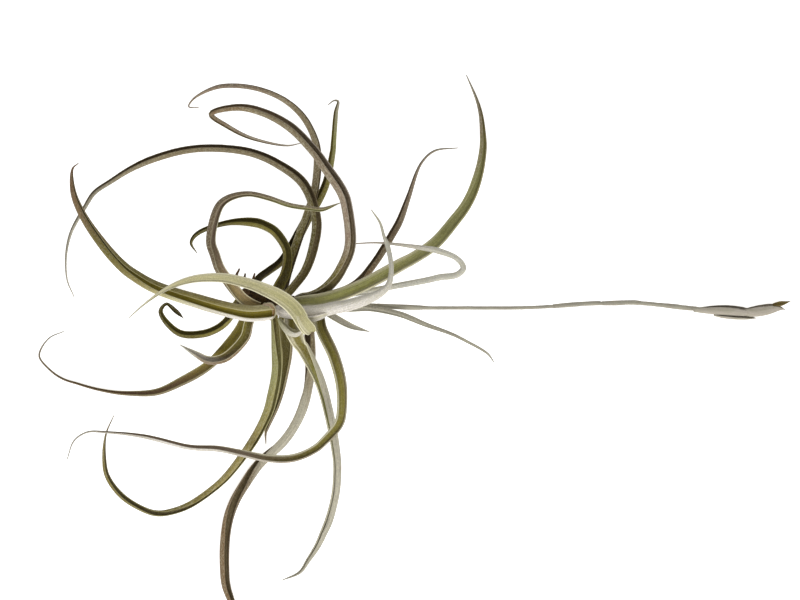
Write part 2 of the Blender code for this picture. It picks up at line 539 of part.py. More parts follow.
# Sheaths that wrap the stalk: where each begins, its length, and which way it opens.
stalk_bracts = {
    "stalk_bract_1": {"start": 46.0, "length": 28.0, "turn": 170},
    "stalk_bract_2": {"start": 136.0, "length": 24.0, "turn": 110},
    "stalk_bract_3": {"start": 161.5, "length": 20.0, "turn": 120},
    "stalk_bract_4": {"start": 193.0, "length": 18.0, "turn": 235},
}
sheath_width = 2.9
sheath_fold = (150, 150, 130, 80, 50)
sheath_shape = (                        # share of the length, share of the width, lift off the stalk
    (0.00, 1.00, 0.0), (0.35, 1.00, 0.0), (0.65, 0.98, 0.05), (0.84, 0.80, 0.40), (1.00, 0.30, 1.00),
)


def make_sheath(name, start, length, turn):
    """A sheath that hugs the stalk, then opens and leaves it with a pointed tip."""
    route = []
    for share, width, lift in sheath_shape:
        route.append(on_stalk(start + length * share, sheath_width * width, lift, turn))
    make_channel(name, route, (turn, turn), sheath_fold, papery, bract_sides)


for name, sheath in stalk_bracts.items():
    make_sheath(name, **sheath)

# The spike's own bracts are boat-shaped and open towards its upper edge.
spike_bracts = {
    "spike_first_bract": {
        "turn": (-80, -80), "fold": (125, 120, 105),
        "route": [
            (214.5, -2.1, 5.2, 2.4), (222.4, -2.2, 3.6, 3.8), (228.7, -2.2, 2.8, 4.3),
            (233.5, -2.1, 2.9, 3.9), (237.2, -1.8, 3.0, 2.2),
        ]},
    "spike_lower_bract": {
        "turn": (-110, -110), "fold": (25, 42, 45, 42, 30),
        "route": [
            (221.8, -2.7, 3.8, 1.8), (227.5, -3.0, 3.0, 3.6), (234.0, -3.6, 2.9, 4.8),
            (240.0, -3.8, 2.9, 4.4), (244.5, -4.2, 3.0, 2.4),
        ]},
    "spike_main_bract": {
        "turn": (-80, -70), "fold": (115, 125, 120, 100),
        "route": [
            (237.9, -2.9, 3.2, 3.0), (240.5, -3.0, 3.1, 4.8), (244.5, -3.0, 3.02, 5.9),
            (249.0, -2.6, 3.08, 6.2), (254.0, -1.3, 3.2, 5.2), (258.0, -0.5, 3.4, 3.2),
        ]},
    "dried_petals": {
        "turn": (-80, -60), "fold": (120, 110),
        "route": [
            (246.5, -2.2, 3.3, 2.2), (252.0, -0.6, 3.4, 3.0), (256.5, 0.6, 3.6, 2.6), (260.6, 1.7, 4.0, 0.7),
        ]},
}
for name, bract in spike_bracts.items():
    make_channel(name, bract["route"], bract["turn"], bract["fold"], papery, bract_sides)
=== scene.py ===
import math
import bpy
import bmesh
from mathutils import Vector, Matrix, noise


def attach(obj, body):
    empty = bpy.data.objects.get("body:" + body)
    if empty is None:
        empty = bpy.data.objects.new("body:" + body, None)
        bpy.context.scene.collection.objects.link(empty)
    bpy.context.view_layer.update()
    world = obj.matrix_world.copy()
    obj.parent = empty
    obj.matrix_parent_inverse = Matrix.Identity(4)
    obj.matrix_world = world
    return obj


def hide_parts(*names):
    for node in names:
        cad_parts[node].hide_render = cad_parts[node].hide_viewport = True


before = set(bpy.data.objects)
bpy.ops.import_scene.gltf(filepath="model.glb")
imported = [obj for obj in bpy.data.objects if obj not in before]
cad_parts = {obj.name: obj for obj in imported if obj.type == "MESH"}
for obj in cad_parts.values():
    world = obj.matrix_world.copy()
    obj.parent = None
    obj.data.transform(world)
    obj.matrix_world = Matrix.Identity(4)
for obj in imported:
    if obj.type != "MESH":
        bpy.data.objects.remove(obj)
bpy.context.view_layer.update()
print("frame loaded:", len(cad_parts), "nodes")

mm = 0.001
heart = Vector((-64.64, 27.04, 0.0))   # where the routes' zero stands

# tones as they look in soft light, red, green and blue out of 255
tones = {
    "soot": (36, 25, 15), "pitch": (48, 39, 4), "bark": (68, 52, 28), "umber": (90, 76, 47),
    "moss": (84, 75, 22), "fern": (106, 96, 36), "olive": (126, 117, 48), "honey": (138, 125, 68),
    "leek": (148, 146, 92), "sage": (162, 157, 110), "willow": (178, 172, 128), "linen": (194, 189, 162),
    "cream": (224, 218, 184), "taupe": (126, 112, 84), "mocha": (108, 91, 68), "mauve": (140, 122, 104),
    "rosewood": (110, 82, 58), "amber": (136, 104, 36), "ash": (154, 149, 134), "dove": (180, 172, 160),
    "silver": (193, 191, 179), "chalk": (210, 205, 194), "pearl": (220, 214, 206), "snow": (250, 250, 250),
    "fawn": (152, 133, 88), "stone": (170, 165, 148), "straw": (190, 183, 140), "clay": (122, 98, 68),
    "gold": (138, 124, 34), "pickle": (148, 148, 84),
}


def paint(tone):
    # a named tone as linear colour with full alpha
    shades = []
    for part in tones[tone]:
        share = part / 255
        shades.append(share / 12.92 if share < 0.04045 else ((share + 0.055) / 1.055) ** 2.4)
    return (*shades, 1.0)


# stage: floor, light and camera

stage = {
    "floorSize": 6.0, "floorTone": "snow", "glow": 0.62, "floorDrop": 0.0003,
    "floorGrain": 400.0, "floorRough": (0.75, 0.9), "floorShine": 0.1,
    "skyStrength": 0.42, "white": (1.0, 1.0, 1.0, 1.0),
    "keyPower": 9.0, "keySize": 0.7, "keyPlace": (0.05, -0.75, 0.85),
    "fillPower": 1.6, "fillSize": 0.9, "fillPlace": (-0.5, 0.5, 1.0),
    "lens": 100.0, "sensor": 36.0, "eye": (57.5, 2.5, 1166.0),
}


def addNode(tree, kind, links=None, **settings):
    # a shader node with its settings, and its inputs given as values or as other nodes' outputs
    made = tree.nodes.new(kind)
    for key, value in settings.items():
        setattr(made, key, value)
    for key, value in (links or {}).items():
        if isinstance(value, bpy.types.NodeSocket):
            tree.links.new(value, made.inputs[key])
        else:
            made.inputs[key].default_value = value
    return made


def newMaterial(name):
    material = bpy.data.materials.new(name)
    material.use_nodes = True
    tree = material.node_tree
    tree.nodes.clear()
    output = tree.nodes.new("ShaderNodeOutputMaterial")
    return material, tree, output


def makeFloor():
    material, tree, output = newMaterial("paleFloor")
    grain = addNode(tree, "ShaderNodeTexNoise", {"Scale": stage["floorGrain"], "Detail": 3.0})
    low, high = stage["floorRough"]
    rough = addNode(tree, "ShaderNodeMapRange", {
        "Value": grain.outputs["Fac"], "To Min": low, "To Max": high})
    shader = addNode(tree, "ShaderNodeBsdfPrincipled", {
        "Base Color": paint(stage["floorTone"]), "Roughness": rough.outputs[0],
        "Emission Color": stage["white"], "Emission Strength": stage["glow"],
        "Specular IOR Level": stage["floorShine"]})
    tree.links.new(shader.outputs[0], output.inputs["Surface"])
    bm = bmesh.new()
    bmesh.ops.create_grid(bm, x_segments=2, y_segments=2, size=stage["floorSize"] / 2)
    mesh = bpy.data.meshes.new("floor")
    bm.to_mesh(mesh)
    bm.free()
    floor = bpy.data.objects.new("floor", mesh)
    floor.location.z = -stage["floorDrop"]
    mesh.materials.append(material)
    bpy.context.scene.collection.objects.link(floor)


def addLight(name, power, size, place):
    data = bpy.data.lights.new(name, "AREA")
    data.energy = power
    data.size = size
    light = bpy.data.objects.new(name, data)
    light.location = place
    light.rotation_euler = (-Vector(place)).to_track_quat("-Z", "Y").to_euler()
    bpy.context.scene.collection.objects.link(light)


def makeStage():
    makeFloor()
    scene = bpy.context.scene
    scene.view_settings.view_transform = "Standard"
    world = bpy.data.worlds.new("softRoom")
    world.use_nodes = True
    sky = world.node_tree.nodes["Background"]
    sky.inputs["Strength"].default_value = stage["skyStrength"]
    sky.inputs["Color"].default_value = stage["white"]
    scene.world = world
    addLight("keyLight", stage["keyPower"], stage["keySize"], stage["keyPlace"])
    addLight("fillLight", stage["fillPower"], stage["fillSize"], stage["fillPlace"])
    lens = bpy.data.cameras.new("camera")
    lens.lens = stage["lens"]
    lens.sensor_width = stage["sensor"]
    camera = bpy.data.objects.new("camera", lens)
    camera.location = (heart + Vector(stage["eye"])) * mm
    scene.collection.objects.link(camera)
    scene.camera = camera


makeStage()
print("stage ready")


# curves that carry a width along, and the directions across them

steepest = 0.9   # past this share of straight up, a run keeps its last level heading


def smoothRoute(points, steps):
    # a centripetal curve through the points, with the last number carried along
    rows = [Vector(p) for p in points]
    rows = [2 * rows[0] - rows[1]] + rows + [2 * rows[-1] - rows[-2]]
    curve = []
    for a, b, c, d in zip(rows, rows[1:], rows[2:], rows[3:]):
        t1 = (b - a).xyz.length ** 0.5
        t2 = t1 + (c - b).xyz.length ** 0.5
        t3 = t2 + (d - c).xyz.length ** 0.5
        for k in range(steps):
            t = t1 + (t2 - t1) * k / steps
            ab = a.lerp(b, t / t1)
            bc = b.lerp(c, (t - t1) / (t2 - t1))
            cd = c.lerp(d, (t - t2) / (t3 - t2))
            abc = ab.lerp(bc, t / t2)
            bcd = bc.lerp(cd, (t - t1) / (t3 - t1))
            curve.append(abc.lerp(bcd, (t - t1) / (t2 - t1)))
    curve.append(rows[-2])
    return curve


def spread(values, share):
    # reads a short list as if its values were spaced evenly from 0 to 1
    place = share * (len(values) - 1)
    low = min(int(place), len(values) - 2)
    return values[low] + (values[low + 1] - values[low]) * (place - low)


def upwardFrames(curve, opening=Vector((0, 0, 1))):
    # at each station the way ahead, and the direction square to it that's nearest to the opening
    places = [p.xyz for p in curve]
    ahead = [(places[1] - places[0]).normalized()]
    for before, after in zip(places, places[2:]):
        ahead.append((after - before).normalized())
    ahead.append((places[-1] - places[-2]).normalized())
    level = [way for way in ahead if abs(way.dot(opening)) < steepest]
    trend = level[0]
    openings = []
    for way in ahead:
        if abs(way.dot(opening)) < steepest:
            trend = way
        nearest = opening - trend * opening.dot(trend)
        openings.append((nearest - way * nearest.dot(way)).normalized())
    return places, ahead, openings


def runLengths(places):
    runs = [0.0]
    for a, b in zip(places, places[1:]):
        runs.append(runs[-1] + (b - a).length)
    return runs


# channelled skin: a thick U section with rounded rims and fine lengthwise ribs

channel = {
    "steps": 7, "outerSides": 44, "innerSides": 30, "rimSides": 5,
    "wallSlope": 0.16, "wallLeast": 0.10, "wallShare": 0.36, "rimShare": 0.6, "lip": 1.2,
    "filled": 0.35, "hollow": 0.12, "ribs": 11, "ribDepth": 0.006,
    "tip": 0.8, "tipRings": (0.45, 0.8, 0.97),
    "waver": 0.05, "waverNoise": (0.06, 7.3, 0.0),
    "sway": 0.10, "swayNoise": (0.09, 3.1, 5.0),
    "edgeWave": 0.02, "edgeFrom": 0.7, "edgeSpan": 0.3, "edgeNoise": (0.35, 11.0, 9.0), "edgeApart": 3.0,
    "leafGap": 130.0, "insideGap": 17.0, "leafDepth": 1.7,
}
# where the noise of each kind of piece starts
firstSeed = {
    "leaves": 1, "scales": 1, "stem": 40, "roots": 50, "stalk": 60, "sheaths": 70, "spike": 80, "lobes": 90,
}


def channelOutline(width, fold, wall, wraps, filled):
    # points round the section once: side, up, place across, surface (0 back, 1 inside) and arc
    half = math.radians(fold)
    back = width / 2 / math.sin(min(half, math.pi / 2))
    if wall is None:
        wall = channel["wallSlope"] * width + channel["wallLeast"]
    wall = min(wall, channel["wallShare"] * width)
    middle = 0.0 if wraps else back * (1 + math.cos(half)) / 2

    def rib(across):
        return channel["ribDepth"] * width * math.cos(across * channel["ribs"] * math.pi)

    points = []
    for k in range(channel["outerSides"] + 1):
        across = 2 * k / channel["outerSides"] - 1
        points.append((half * across, back + rib(across), across, 0.0))
    edge = wall * channel["rimShare"]
    rim = []
    for k in range(1, channel["rimSides"]):
        phase = math.pi * k / channel["rimSides"]
        past = math.sin(phase) * edge / 2 * channel["lip"] / back
        rim.append((past, back - edge / 2 + math.cos(phase) * edge / 2, k / channel["rimSides"]))
    for past, radius, surface in rim:
        points.append((half + past, radius, 1.0, surface))
    for k in range(channel["innerSides"] + 1):
        across = 1 - 2 * k / channel["innerSides"]
        depth = wall * (channel["rimShare"] + (1 - channel["rimShare"]) * math.cos(across * math.pi / 2))
        points.append((half * across, back - depth + rib(across), across, 1.0))
    for past, radius, surface in reversed(rim):
        points.append((-half - past, radius, -1.0, surface))
    # the pith lifts the inside's floor towards the opening and leaves it nearly flat
    deepest = back - wall
    level = filled * (deepest - back * math.cos(half)) - deepest
    outline = []
    for angle, radius, across, surface in points:
        height = -radius * math.cos(angle)
        if surface == 1.0 and height < level:
            height = level + channel["hollow"] * (height - level)
        outline.append((radius * math.sin(angle), middle + height, across, surface, radius * angle))
    return outline


def wander(kind, run, seed, apart=0.0):
    # smooth noise along a leaf, kept apart for each use and each leaf
    pace, seedStep, lane = channel[kind]
    return noise.noise(Vector((run * pace, seed * seedStep + apart, lane)))


def skinPlace(run, arc, seed):
    # where the material reads its noise: along, round, and a layer of its own for each piece
    return run + seed * channel["leafGap"], arc, seed * channel["leafDepth"]


def skinRings(bm, rings):
    for one, other in zip(rings, rings[1:]):
        for k in range(len(one)):
            following = (k + 1) % len(one)
            bm.faces.new((one[k], one[following], other[following], other[k]))


def closeEnds(bm, rings):
    bm.faces.new(rings[0])
    bm.faces.new(list(reversed(rings[-1])))


def addPiece(name, bm, material, node=None):
    # turns the mesh into a piece that stands for the CAD node of the same name, or for the one given
    bmesh.ops.recalc_face_normals(bm, faces=bm.faces)
    mesh = bpy.data.meshes.new(name + "_skin")
    bm.to_mesh(mesh)
    bm.free()
    mesh.shade_smooth()
    mesh.materials.append(material)
    piece = bpy.data.objects.new(name + "_skin", mesh)
    bpy.context.scene.collection.objects.link(piece)
    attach(piece, "root")
    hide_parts(node or name)


def makeChannel(name, shape, material, seed, wall=None, wraps=False, node=None, filled=0.0):
    curve = smoothRoute(shape["route"], channel["steps"])
    places, ahead, openings = upwardFrames(curve)
    runs = runLengths(places)
    bm = bmesh.new()
    shareLayer = bm.verts.layers.float_vector.new("leafShare")
    placeLayer = bm.verts.layers.float_vector.new("leafPlace")
    stations = [(i, 0.0, 1.0) for i in range(len(places))]
    for past in channel["tipRings"]:
        stations.append((len(places) - 1, past * channel["tip"], math.sqrt(1 - past * past)))
    rings = []
    for i, past, shrink in stations:
        share = runs[i] / runs[-1]
        roll = Matrix.Rotation(math.radians(spread(shape["turn"], share)), 3, ahead[i])
        up = roll @ openings[i]
        side = ahead[i].cross(up)
        width = curve[i][3] * (1 + channel["waver"] * wander("waverNoise", runs[i], seed))
        centre = places[i] + ahead[i] * past
        centre = centre + side * channel["sway"] * wander("swayNoise", runs[i], seed)
        ring = []
        outline = channelOutline(width, spread(shape["fold"], share), wall, wraps, filled)
        for s, u, across, surface, arc in outline:
            edge = max(0.0, abs(across) - channel["edgeFrom"]) / channel["edgeSpan"]
            ripple = wander("edgeNoise", runs[i], seed, channel["edgeApart"] if across > 0 else 0.0)
            lift = channel["edgeWave"] * width * edge * edge * ripple
            vert = bm.verts.new((heart + centre + (side * s + up * (u + lift)) * shrink) * mm)
            vert[shareLayer] = (share, across, surface)
            vert[placeLayer] = skinPlace(runs[i] + past, arc + surface * channel["insideGap"], seed)
            ring.append(vert)
        rings.append(ring)
    skinRings(bm, rings)
    closeEnds(bm, rings)
    addPiece(name, bm, material, node)


# leaf skin: back and inside tones along the leaf (partly painted shade), striations, scurf, stains, pale
# rims

skin = {
    "flank": (-0.35, 0.35), "inside": (0.55, 0.95), "slope": (0.22, 0.85), "slopeShare": 0.8,
    "patchStretch": (0.05, 0.30, 1.0), "patchDrift": 0.25,
    "nerveStretch": (0.035, 2.6, 1.0), "nerve": (0.32, 0.68, 0.72, 1.24),
    "grainStretch": (1.3, 1.9, 1.9), "grain": (0.36, 0.64, 0.8, 1.2),
    "stainStretch": (0.16, 0.5, 2.3), "stain": (0.56, 0.72, 0.0, 0.30), "stainTone": "rosewood",
    "scurfStretch": (0.9, 1.9, 1.0), "scurf": (0.45, 0.62), "scurfTone": "linen",
    "scurfWorn": (0.35, 0.65, 0.45, 1.25), "scurfBack": (0.4, 1.0, 1.0, 0.35),
    "rim": (0.55, 0.85, 0.0, 0.6), "rimNearTip": (0.75, 1.0, 1.0, 0.3),
    "roughness": (0.0, 0.4, 0.66, 0.9), "sheen": 0.06, "sheenRough": 0.5, "shine": 0.18,
    "nerveHeight": 0.7, "scurfHeight": 0.5, "bump": 0.55, "bumpHeight": 0.00009,
}


def toneRamp(tree, factor, names):
    # the named tones at even steps
    ramp = addNode(tree, "ShaderNodeValToRGB", {"Fac": factor})
    stops = ramp.color_ramp.elements
    names = names.split()
    for k in range(2, len(names)):
        stops.new(k / (len(names) - 1))
    for k, name in enumerate(names):
        stops[k].position = k / (len(names) - 1)
        stops[k].color = paint(name)
    return ramp.outputs["Color"]


def blendColour(tree, factor, one, other, kind="MIX"):
    mix = addNode(tree, "ShaderNodeMix", data_type="RGBA", blend_type=kind)
    for socket, value in ((mix.inputs[0], factor), (mix.inputs[6], one), (mix.inputs[7], other)):
        if isinstance(value, bpy.types.NodeSocket):
            tree.links.new(value, socket)
        else:
            socket.default_value = value
    return mix.outputs[2]


def calculate(tree, operation, one, other=0.0, third=0.0, clamp=False):
    numbers = {0: one, 1: other, 2: third}
    return addNode(tree, "ShaderNodeMath", numbers, operation=operation, use_clamp=clamp).outputs[0]


def remap(tree, value, fromMin, fromMax, toMin=0.0, toMax=1.0, kind="SMOOTHSTEP"):
    return addNode(tree, "ShaderNodeMapRange", {
        "Value": value, "From Min": fromMin, "From Max": fromMax, "To Min": toMin, "To Max": toMax,
    }, interpolation_type=kind).outputs[0]


def stretchedNoise(tree, place, stretch, detail=3.0, roughness=0.55):
    scaled = addNode(tree, "ShaderNodeVectorMath", {0: place, 1: stretch}, operation="MULTIPLY")
    return addNode(tree, "ShaderNodeTexNoise", {
        "Vector": scaled.outputs[0], "Scale": 1.0, "Detail": detail, "Roughness": roughness,
    }).outputs["Fac"]


def leafSkin(name, look):
    material, tree, output = newMaterial(name)
    place = addNode(tree, "ShaderNodeAttribute", attribute_name="leafPlace").outputs["Vector"]
    share = addNode(tree, "ShaderNodeAttribute", attribute_name="leafShare").outputs["Vector"]
    parts = addNode(tree, "ShaderNodeSeparateXYZ", {"Vector": share})
    along, across, surface = parts.outputs[0], parts.outputs[1], parts.outputs[2]
    fromMiddle = calculate(tree, "ABSOLUTE", across)
    patch = stretchedNoise(tree, place, skin["patchStretch"], 4.0)
    nerve = stretchedNoise(tree, place, skin["nerveStretch"], 4.0, 0.6)
    drift = calculate(tree, "SUBTRACT", patch, 0.5)
    drift = calculate(tree, "MULTIPLY_ADD", drift, skin["patchDrift"], along)
    left = toneRamp(tree, drift, look["left"])
    right = toneRamp(tree, drift, look["right"])
    groove = toneRamp(tree, drift, look["groove"])
    # left turns into right across the back: the two flank tones differ partly by the leaf's own colour and
    # partly as painted shade
    colour = blendColour(tree, remap(tree, across, *skin["flank"]), left, right)
    slope = remap(tree, fromMiddle, *skin["slope"], 0.0, look.get("slope", skin["slopeShare"]))
    # the groove tones are partly the leaf's own colour and partly painted shade, their darkest stops
    # standing for the shadow inside the channel
    hollow = blendColour(tree, slope, groove, colour)
    colour = blendColour(tree, remap(tree, surface, *skin["inside"]), colour, hollow)
    # stains, nerves and grain
    stain = stretchedNoise(tree, place, skin["stainStretch"], 5.0, 0.65)
    colour = blendColour(tree, remap(tree, stain, *skin["stain"]), colour, paint(skin["stainTone"]))
    grain = stretchedNoise(tree, place, skin["grainStretch"], 3.0, 0.75)
    shade = calculate(tree, "MULTIPLY", remap(tree, nerve, *skin["nerve"], "LINEAR"),
                      remap(tree, grain, *skin["grain"], "LINEAR"))
    grey = addNode(tree, "ShaderNodeCombineColor", {0: shade, 1: shade, 2: shade}).outputs[0]
    colour = blendColour(tree, 1.0, colour, grey, "MULTIPLY")
    # scurf: fine pale scales, thicker on the back than inside, worn off in patches
    scurfGrain = stretchedNoise(tree, place, skin["scurfStretch"], 2.0, 0.7)
    scurfWorn = remap(tree, patch, *skin["scurfWorn"], "LINEAR")
    scurfBack = remap(tree, surface, *skin["scurfBack"], "LINEAR")
    scurf = calculate(tree, "MULTIPLY", remap(tree, scurfGrain, *skin["scurf"]), scurfWorn)
    scurfBack = calculate(tree, "MULTIPLY", scurfBack, look["scurf"])
    scurf = calculate(tree, "MULTIPLY", scurf, scurfBack, clamp=True)
    colour = blendColour(tree, scurf, colour, paint(skin["scurfTone"]))
    # rims: pale, thin, fading towards the tip
    fromRim = calculate(tree, "ABSOLUTE", calculate(tree, "SUBTRACT", surface, 0.5))
    rim = remap(tree, calculate(tree, "SUBTRACT", 1.0, fromRim), *skin["rim"])
    rim = calculate(tree, "MULTIPLY", rim, remap(tree, along, *skin["rimNearTip"], "LINEAR"))
    colour = blendColour(tree, rim, colour, paint(look["rim"]))
    rough = remap(tree, scurf, *skin["roughness"], "LINEAR")
    height = calculate(tree, "ADD", calculate(tree, "MULTIPLY", nerve, skin["nerveHeight"]),
                       calculate(tree, "MULTIPLY", scurfGrain, skin["scurfHeight"]))
    bump = addNode(tree, "ShaderNodeBump", {
        "Height": height, "Strength": skin["bump"], "Distance": skin["bumpHeight"]}).outputs[0]
    shader = addNode(tree, "ShaderNodeBsdfPrincipled", {
        "Base Color": colour, "Roughness": rough, "Normal": bump, "Sheen Weight": skin["sheen"],
        "Sheen Roughness": skin["sheenRough"], "Specular IOR Level": skin["shine"]})
    tree.links.new(shader.outputs[0], output.inputs["Surface"])
    return material


# leaves: turn is which way the channel opens, in degrees from straight up towards the right of its run,
# fold is half the angle that the channel closes through, and each list goes from base to tip.
# filled is the share of the groove that pith fills, slope how far its walls take the flank tones.
# left and right are the flank tones; where they differ, it is partly the leaf's own colour and partly
# painted shade, and the darkest groove tones are partly painted shade inside the channel.

# the same for each leaf on the underside
underLook = {
    "turn": (180, 150, 120), "fold": (60, 90, 125), "left": "olive taupe ash", "right": "fern taupe ash",
    "groove": "moss umber", "rim": "sage", "scurf": 0.3,
}

